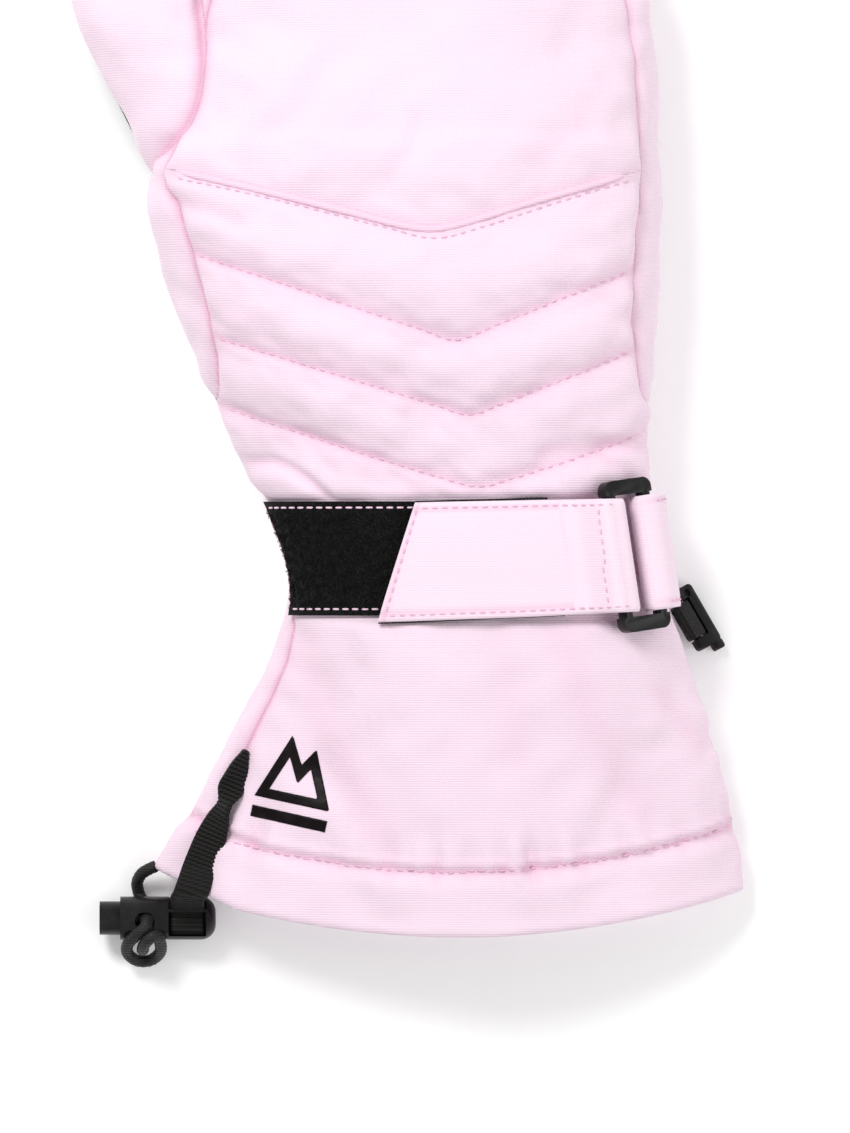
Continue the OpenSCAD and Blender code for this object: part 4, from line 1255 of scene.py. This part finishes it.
def make_tab():
    c = bar_right
    out = [c + [4.9, -13.4], c + [5.3, -10.5], c + [5.45, -7], c + [5.0, -2.4], c + [3.6, 1.1], c + [1.9, 2.75]]
    arc = [c + [-BAR_CLEAR * math.sin(a), BAR_CLEAR * math.cos(a)] for a in np.linspace(0.1, math.pi - 0.1, 26)]
    back = [c + [2.2, -3.9], c + [3.7, -6.2], c + [4.3, -9], c + [4.15, -13.2]]
    line = smooth_line(np.array(out + arc + back), 0.7)
    width = 34
    v = np.linspace(-15, 15, width)
    mid = np.empty((len(line), width, 3))
    for k in (0, 1):
        mid[..., k] = RING[k] + line[:, :1] * E1[k] + v[None] * E2[k]
    mid[..., 2] = line[:, 1:]
    g = unit(np.gradient(line, axis=0))
    n2 = np.stack([g[:, 1], -g[:, 0]], -1)
    n3 = np.stack([n2[:, 0] * E1[0], n2[:, 0] * E1[1], n2[:, 1]], -1)
    normal = np.repeat(n3[:, None], width, 1)
    leg = smoothstep(-np.arange(len(line)).astype(float), -30, -20)[:, None]
    edge = (15 - np.abs(v))[None]
    groove = 0.25 * gauss(edge - 1.7, 0.7) * leg
    thick = np.where(np.arange(len(line))[:, None] < 30, 1.05, 1.2) * edge_round(width, 0.09, 0.4)[None]
    wobble = 0.12 * ripple(mid.reshape(-1, 3), 12, 10, 26, 31).reshape(mid.shape[:2])
    mid = mid + normal * (wobble * leg - 0.4 * groove)[..., None]
    vv, ff = solid_from_mid(mid, normal, thick - groove)
    # painted shade in the stitched grooves along the tab's edges
    painted_shade = (groove * 1.8 * np.ones_like(thick)).ravel()
    ob = new_object("side_tab", vv, ff, "strap", np.concatenate([painted_shade, painted_shade]))
    done(ob, "mitten", "side_tab", slot="shell_fabric")
    pile = Pile()
    top = mid + normal * (thick / 2)[..., None]
    for col in (2, width - 3):
        stitch_on_points(pile, top[1:24, col], normal[1:24, col])
    done(pile.make("tab_stitching", "thread"), "mitten", slot="shell_fabric")


make_tab()


# ---------- loop patch with its pile ----------

PATCH_TOP, PATCH_WIDTH = 15.2, 29.6


def patch_point(i, k, d):
    """A point of the loop patch at depth d: i goes out to the thumb side, k across the patch."""
    return skin((92 + (80 - 7 * k) * i) * DEG, PATCH_TOP - PATCH_WIDTH * k, d)


def make_loop_patch():
    nx, ny = 120, 56
    i, k = np.meshgrid(np.linspace(0, 1, nx), np.linspace(0, 1, ny), indexing="ij")
    base = patch_point(i, k, -0.25)
    n = unit(patch_point(i, k, -1.2) - base)
    flat = np.minimum(np.minimum(k, 1 - k) * PATCH_WIDTH, (1 - i) * 75) < 2.1
    lumps = 0.22 * ripple(base.reshape(-1, 3), 40, 1.6, 4, 51).reshape(nx, ny)
    top = base + n * np.where(flat, 0.78, 1.05 + lumps)[..., None]
    vv, ff = thick_sheet(top.reshape(-1, 3), grid_faces(nx, ny)[:, ::-1], base.reshape(-1, 3))
    done(new_object("loop_patch", vv, ff, "loop"), "mitten", "loop_patch", slot="loop_pile")
    # bent fibres
    count = 5200
    i, k = rng.uniform(0.0, 0.985, count), rng.uniform(0.075, 0.925, count)
    roots = patch_point(i, k, -1.0)
    ups = unit(patch_point(i, k, -2.0) - roots)
    pile = Pile()
    for root, up in zip(roots, ups):
        lean = rng.normal(0, 1, 3)
        lean = unit(lean - (lean @ up) * up)
        h, l = rng.uniform(0.25, 0.62), rng.uniform(0.5, 1.1)
        pts = np.array([root + up * h * a + lean * l * b for a, b in ((0, 0), (0.8, 0.35), (1, 0.75), (0.35, 1))])
        side = np.cross(up, lean) * 0.07
        pile.add(np.stack([pts + side, pts - side, pts + up * 0.07], 1).reshape(-1, 3), grid_faces(4, 3, True))
    done(pile.make("loop_pile", "loop"), "mitten", slot="loop_pile")
    # stitching along both long edges and the outer end
    edge = Pile()
    t = np.linspace(0, 1, 60)
    for i, k in ((0.05 + 0.93 * t, 0.055 + 0 * t), (0.05 + 0.93 * t, 0.945 + 0 * t), (0.982 + 0 * t, 0.055 + 0.89 * t)):
        pts = patch_point(i, k, -1.15)
        stitch_on_points(edge, pts, patch_point(i, k, -3.0) - pts, pitch=2.7, length=1.9, radius=0.22)
    done(edge.make("patch_stitching", "pale_thread"), "mitten", slot="shell_fabric")


make_loop_patch()


# ---------- plastic parts, from the CAD solids with rounded edges ----------

def bevelled(name, body, width):
    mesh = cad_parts[name].data.copy()
    ob = link(bpy.data.objects.new(name, mesh))
    bm = bmesh.new()
    bm.from_mesh(mesh)
    bmesh.ops.remove_doubles(bm, verts=bm.verts, dist=2e-6)
    bmesh.ops.dissolve_limit(bm, angle_limit=math.radians(1.0), verts=bm.verts, edges=bm.edges)
    bm.to_mesh(mesh)
    bm.free()
    mod = ob.modifiers.new("bevel", "BEVEL")
    mod.width, mod.segments = width * MM, 3
    mod.limit_method, mod.angle_limit = "ANGLE", math.radians(32)
    mod.use_clamp_overlap = True
    final = apply_modifiers(ob)
    final.materials.clear()
    final.materials.append(mats["plastic"])
    final.polygons.foreach_set("use_smooth", np.ones(len(final.polygons), bool))
    with bpy.context.temp_override(object=ob, active_object=ob, selected_objects=[ob],
                                   selected_editable_objects=[ob]):
        bpy.ops.object.shade_smooth_by_angle(angle=math.radians(35))
    done(ob, body, name, slot="black_plastic")


for name, body, width in (("strap_ring", "ring", 0.4), ("mitten_clip", "clip", 0.35),
                          ("cord_lock_body", "lock", 0.3), ("cord_lock_plunger", "plunger", 0.3)):
    bevelled(name, body, width)


# ---------- webbing ----------

RIB, RIB_PITCH = 0.34, 1.15


def ribbed(path, half, turn, roll, thick, width_pts=16):
    """Webbing along a path: half width, plan turn of its width and roll about the path at each point."""
    s = run_of(path)
    t = unit(np.gradient(path, axis=0))
    u = np.stack([np.cos(turn), np.sin(turn), np.zeros_like(turn)], -1)
    u = unit(u - (u * t).sum(1, keepdims=True) * t)
    n = np.cross(u, t)
    u, n = (u * np.cos(roll)[:, None] + n * np.sin(roll)[:, None],
            n * np.cos(roll)[:, None] - u * np.sin(roll)[:, None])
    w = np.linspace(-1, 1, width_pts)
    mid = path[:, None] + u[:, None] * (half[:, None] * w[None])[..., None]
    rib = RIB * np.abs(np.sin(math.pi * s / RIB_PITCH))[:, None]**0.7
    row = 0.10 * np.abs(np.sin(w * 5 * math.pi / 2))[None]
    thickness = (thick - 1.5 * RIB + 2 * rib + row) * edge_round(width_pts, 0.16, 0.55)[None]
    normal = np.repeat(n[:, None], width_pts, 1)
    v, f = solid_from_mid(mid, normal, thickness)
    # painted shade in the valleys between the ribs
    rib_valley_shade = np.broadcast_to(1 - (rib / RIB)**1.5, thickness.shape)
    return v, f, np.concatenate([rib_valley_shade.ravel()] * 2)


def make_lock_webbing():
    # plan place, height over the plain surface, half width, turn and roll in degrees
    line = [(-53.2, -49.6, 1.8, 0.7, 0, 40), (-54.9, -54, 3.2, 2.6, 12, 30), (-56.7, -58.7, 3.6, 3.5, 24, 14),
            (-58.9, -64, 4.4, 2.9, 34, -60), (-60.8, -68.6, 3.9, 3.6, 24, -38), (-62.9, -74, 3.2, 4.2, 10, -8),
            (-65.2, -80, 3, 4.4, 5, 0)]
    rows = [[x, y, float(back_z(x, y, 0)) + over, half, t, r] for x, y, over, half, t, r in line]
    rows += [[-67.2, -86, 20.6, 4.5, 3, 0], [-68.4, -88.2, 17.8, 4.5, 0, 0], [-68.7, -89.7, 14.2, 4.5, 0, 0],
             [-68.7, -91.2, 10.8, 4.5, 0, 0], [-68.7, -92.6, 9.6, 4.45, 0, 0], [-68.7, -94.4, 10, 4.4, 0, 0],
             [-68.7, -96.4, 9.9, 4.4, 0, 0], [-68.7, -97.6, 8.6, 4.4, 0, 0]]
    line = smooth_line(rows, 0.22)
    v, f, rib_valley_shade = ribbed(line[:, :3], line[:, 3], line[:, 4] * DEG, line[:, 5] * DEG, 1.5)
    ob = new_object("lock_webbing", v, f, "web", rib_valley_shade)
    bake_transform(ob)
    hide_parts("lock_webbing", "lock_webbing_end")


make_lock_webbing()


def make_clip_webbing():
    turn = 30 * DEG
    ux, uy = np.array([math.cos(turn), math.sin(turn), 0]), np.array([-math.sin(turn), math.cos(turn), 0])
    origin = np.array([62.4, -16, 5.3])
    r = 2.15
    pts = [(-1.4, 9.4), (-2.1, 6.0), (-2.2, 2.6)]
    pts += [(r * math.cos(a), r * math.sin(a)) for a in np.linspace(math.pi, 2 * math.pi + 0.3, 14)]
    pts += [(0.45, 3.0), (-1.0, 5.6), (-0.75, 8.8)]
    line = smooth_line(pts, 0.22)
    path = origin + line[:, :1] * ux + line[:, 1:] * np.array([0, 0, 1])
    n = np.cross(uy, unit(np.gradient(path, axis=0)))
    mid = path[:, None] + uy * 4.9 * np.linspace(-1, 1, 14)[:, None]
    rib = np.abs(np.sin(math.pi * run_of(path) / RIB_PITCH))[:, None]
    v, f = solid_from_mid(mid, np.repeat(n[:, None], 14, 1), (0.66 + 0.36 * rib) * edge_round(14, 0.16, 0.55))
    ob = new_object("clip_webbing", v, f, "web")
    done(ob, "mitten", "clip_webbing", slot="black_webbing")


make_clip_webbing()


# ---------- the free drawcord ----------

def braided(path, radius, name):
    a, s = 2 * math.pi * np.arange(20) / 20, run_of(path)[:, None]
    weave = np.abs(np.sin(3 * a + s * 2.2)) + np.abs(np.sin(3 * a - s * 2.2))
    return new_object(name, *swept(path, radius - 0.16 + 0.1 * weave, 20), "cord")


# the cord's route, as in the CAD source, and the last turn that its end takes through the loop
tail = [(-77, -80.2, 6.6), (-79, -81.1, 6.2), (-80.9, -82.4, 5), (-82, -84.6, 3), (-81.7, -87, 1.9)]
knot = [(-81.3, -88.1, 1.9), (-80.6, -89.6, 2.8), (-80.1, -91.1, 4.8), (-79.8, -92.3, 7.2), (-79.6, -93.5, 9.6),
        (-79.3, -94.6, 12), (-79.6, -96, 14), (-81.8, -98, 13.4), (-84.2, -100.4, 10.4), (-84.4, -103, 6.8),
        (-82, -105, 4.2), (-78.6, -105, 4), (-76.2, -103.2, 6.4), (-75.6, -101.2, 10), (-76.2, -98.6, 13.9)]
last_turn = [(-78, -98.7, 15.2), (-79.8, -100.4, 13.2), (-80.4, -101.9, 9.8), (-80.4, -102, 6)]


def make_cord():
    path = smooth_line(tail + knot, 0.45)
    whole = smooth_line(tail + knot + last_turn, 0.45)
    ob = braided(path, 1.6, "drawcord")
    knot_ob = braided(whole[len(path) - 4:], 1.6, "drawcord_knot")
    done(knot_ob, "lock", "drawcord_knot", slot="elastic_cord")
    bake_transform(ob)
    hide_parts("drawcord_tail")


make_cord()


# ---------- inner layers ----------

def layer_mesh(name, d0, d1, y0, material, lump):
    """A closed layer of the hand between depths d0 and d1, open at the wrist, and its thumb."""
    points, normal, f = hand_ring(d0, 3.0, 52, y0)
    points, normal = points.reshape(-1, 3), normal.reshape(-1, 3)
    bump = lump * ripple(points, 20, 6, 16, 70)[:, None]
    outer = points + normal * np.clip(bump, -0.4, 0.15)
    inner = hand_ring(d1, 3.0, 52, y0)[0].reshape(-1, 3) - normal * np.clip(bump, -0.3, 0.3) * 0.5
    body, bf = thick_sheet(outer, f[(outside_thumb(outer, d1)[f] > -1.0).all(1)], inner)
    points, normal = (g.reshape(-1, 3) for g in thumb_grid(d0, 44, 44))
    f = grid_faces(44, 44, True)
    f = f[(outside_hand(points, d1)[f] > 0.0).all(1)]
    bump = lump * ripple(points, 20, 6, 16, 71)[:, None]
    inner = thumb_grid(d1, 44, 44)[0].reshape(-1, 3)
    thumb, tf = thick_sheet(points + normal * np.clip(bump, -0.4, 0.15), f, inner)
    v, f = used_only(np.concatenate([body, thumb]), np.concatenate([bf, tf + len(body)]))
    return done(new_object(name, v, f, material), "mitten", name, slot=material)


wadding = layer_mesh("insulation", 2.9, 5.15, 12, "wadding", 0.3)
layer_mesh("waterproof_insert", 5.55, 6.0, 10, "membrane", 0.06)
layer_mesh("hand_lining", 6.35, 7.6, 2, "fleece", 0.25)


def lining_depth(y):
    return 1.75 + (6.35 - 1.6) * np.maximum(0, (np.asarray(y, float) + 66) / 67)**2


def make_gauntlet_lining():
    def rings(extra):
        rows = []
        for y in np.linspace(-81, 1.4, 62):
            d = float(lining_depth(y)) + extra
            rows.append(np.concatenate([even_ring(y, d, low, 64)[:-1] for low in (False, True)]))
        return np.array(rows)

    outer, inner = rings(0.0), rings(0.85)
    rows, n = outer.shape[:2]
    inward = inner - outer
    inward /= np.linalg.norm(inward, axis=-1, keepdims=True)
    wrinkle = (0.5 * ripple(outer.reshape(-1, 3) * [1, 0.35, 1], 20, 8, 22, 90)).reshape(rows, n, 1)
    push = inward * np.maximum(wrinkle, -0.05) * smoothstep(np.arange(rows), 4, 14)[:, None, None]
    v = np.concatenate([outer + push, inner + push], -1).reshape(-1, 6)
    v, f = clip(v, grid_faces(rows, n, True)[:, ::-1], hem_value(v[:, :2], 18.4))
    v, f = used_only(v, f)
    vv, ff = thick_sheet(v[:, :3], f, v[:, 3:])
    done(new_object("gauntlet_lining", vv, ff, "lining"), "mitten", "gauntlet_lining", slot="lining_cloth")


make_gauntlet_lining()


def make_hem_band():
    """Facing folded up inside the hem, closed round the drawcord."""
    ring, normal, f = hand_ring(0.0, 1.6, 100)
    v = with_normals(ring, normal)
    f = f[(v[:, 1][f] < -55).all(1)]
    v, f = cut((v, f), lambda p: hem_value(p[:, :2], 0.15), lambda p: -hem_value(p[:, :2], 16.6))
    p, n = v[:, :3], unit(v[:, 3:6])
    h = hem_value(p[:, :2])
    rim = gauss(h, 7.0)
    out = rim * (0.9 - relief(p, n)[0]) + (1 - rim) * 1.65
    deep = 5.9 - 2.6 * gauss(h, 1.8) - 1.6 * smoothstep(h, 13.5, 16.5) + 0.25 * ripple(p, 20, 6, 14, 95)
    outer, inner = p - n * out[:, None], p - n * deep[:, None]
    outer[:, 2], inner[:, 2] = np.maximum(outer[:, 2], 1.0), np.maximum(inner[:, 2], 2.4)
    vv, ff = thick_sheet(outer, f, inner)
    ob = new_object("hem_band", vv, ff, "shell", np.zeros(len(vv)))
    done(ob, "mitten", "hem_band", "hem_drawcord", slot="shell_fabric")


make_hem_band()


def make_wrist_elastic():
    x, y = np.meshgrid(np.linspace(-16, 27, 90), np.linspace(-4.8, 2.8, 16), indexing="ij")
    mid = np.stack([x, y, 1.85 + 0.12 * np.sin(x * 2.1)], -1)
    v, f = solid_from_mid(mid, np.array([0, 0, 1.0]), 0.7 * edge_round(16, 0.1, 0.6))
    done(new_object("wrist_elastic", v, f, "elastic"), "mitten", "wrist_elastic", slot="elastic_band")


make_wrist_elastic()


def make_spring():
    a = np.linspace(0, 2 * math.pi * 3, 200)
    path = np.stack([-86.3 + 9.6 + 2.7 * a / a[-1], -93.8 + 2.6 * np.cos(a), 7.2 + 2.6 * np.sin(a)], -1)
    ob = new_object("cord_lock_spring", *swept(path, 0.22, 10), "steel")
    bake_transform(ob)
    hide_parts("cord_lock_spring")


make_spring()


# ---------- floor ----------

def make_floor():
    mat, nt, bsdf, coord = new_material("paper", Roughness=0.9, Specular_IOR_Level=0.1,
                                        Emission_Color=(1, 1, 1, 1), Emission_Strength=0.11)
    grain = noise(nt, coord, 4, 3)
    feed(nt, bsdf.inputs["Base Color"], mix_colour(nt, grain, (0.90, 0.90, 0.90), (0.92, 0.92, 0.92)))
    mesh = bpy.data.meshes.new("floor")
    s, z = 6.0, -0.0002
    mesh.from_pydata([(-s, -s, z), (s, -s, z), (s, s, z), (-s, s, z)], [], [(0, 1, 2, 3)])
    mesh.materials.append(mat)
    link(bpy.data.objects.new("floor", mesh))


make_floor()
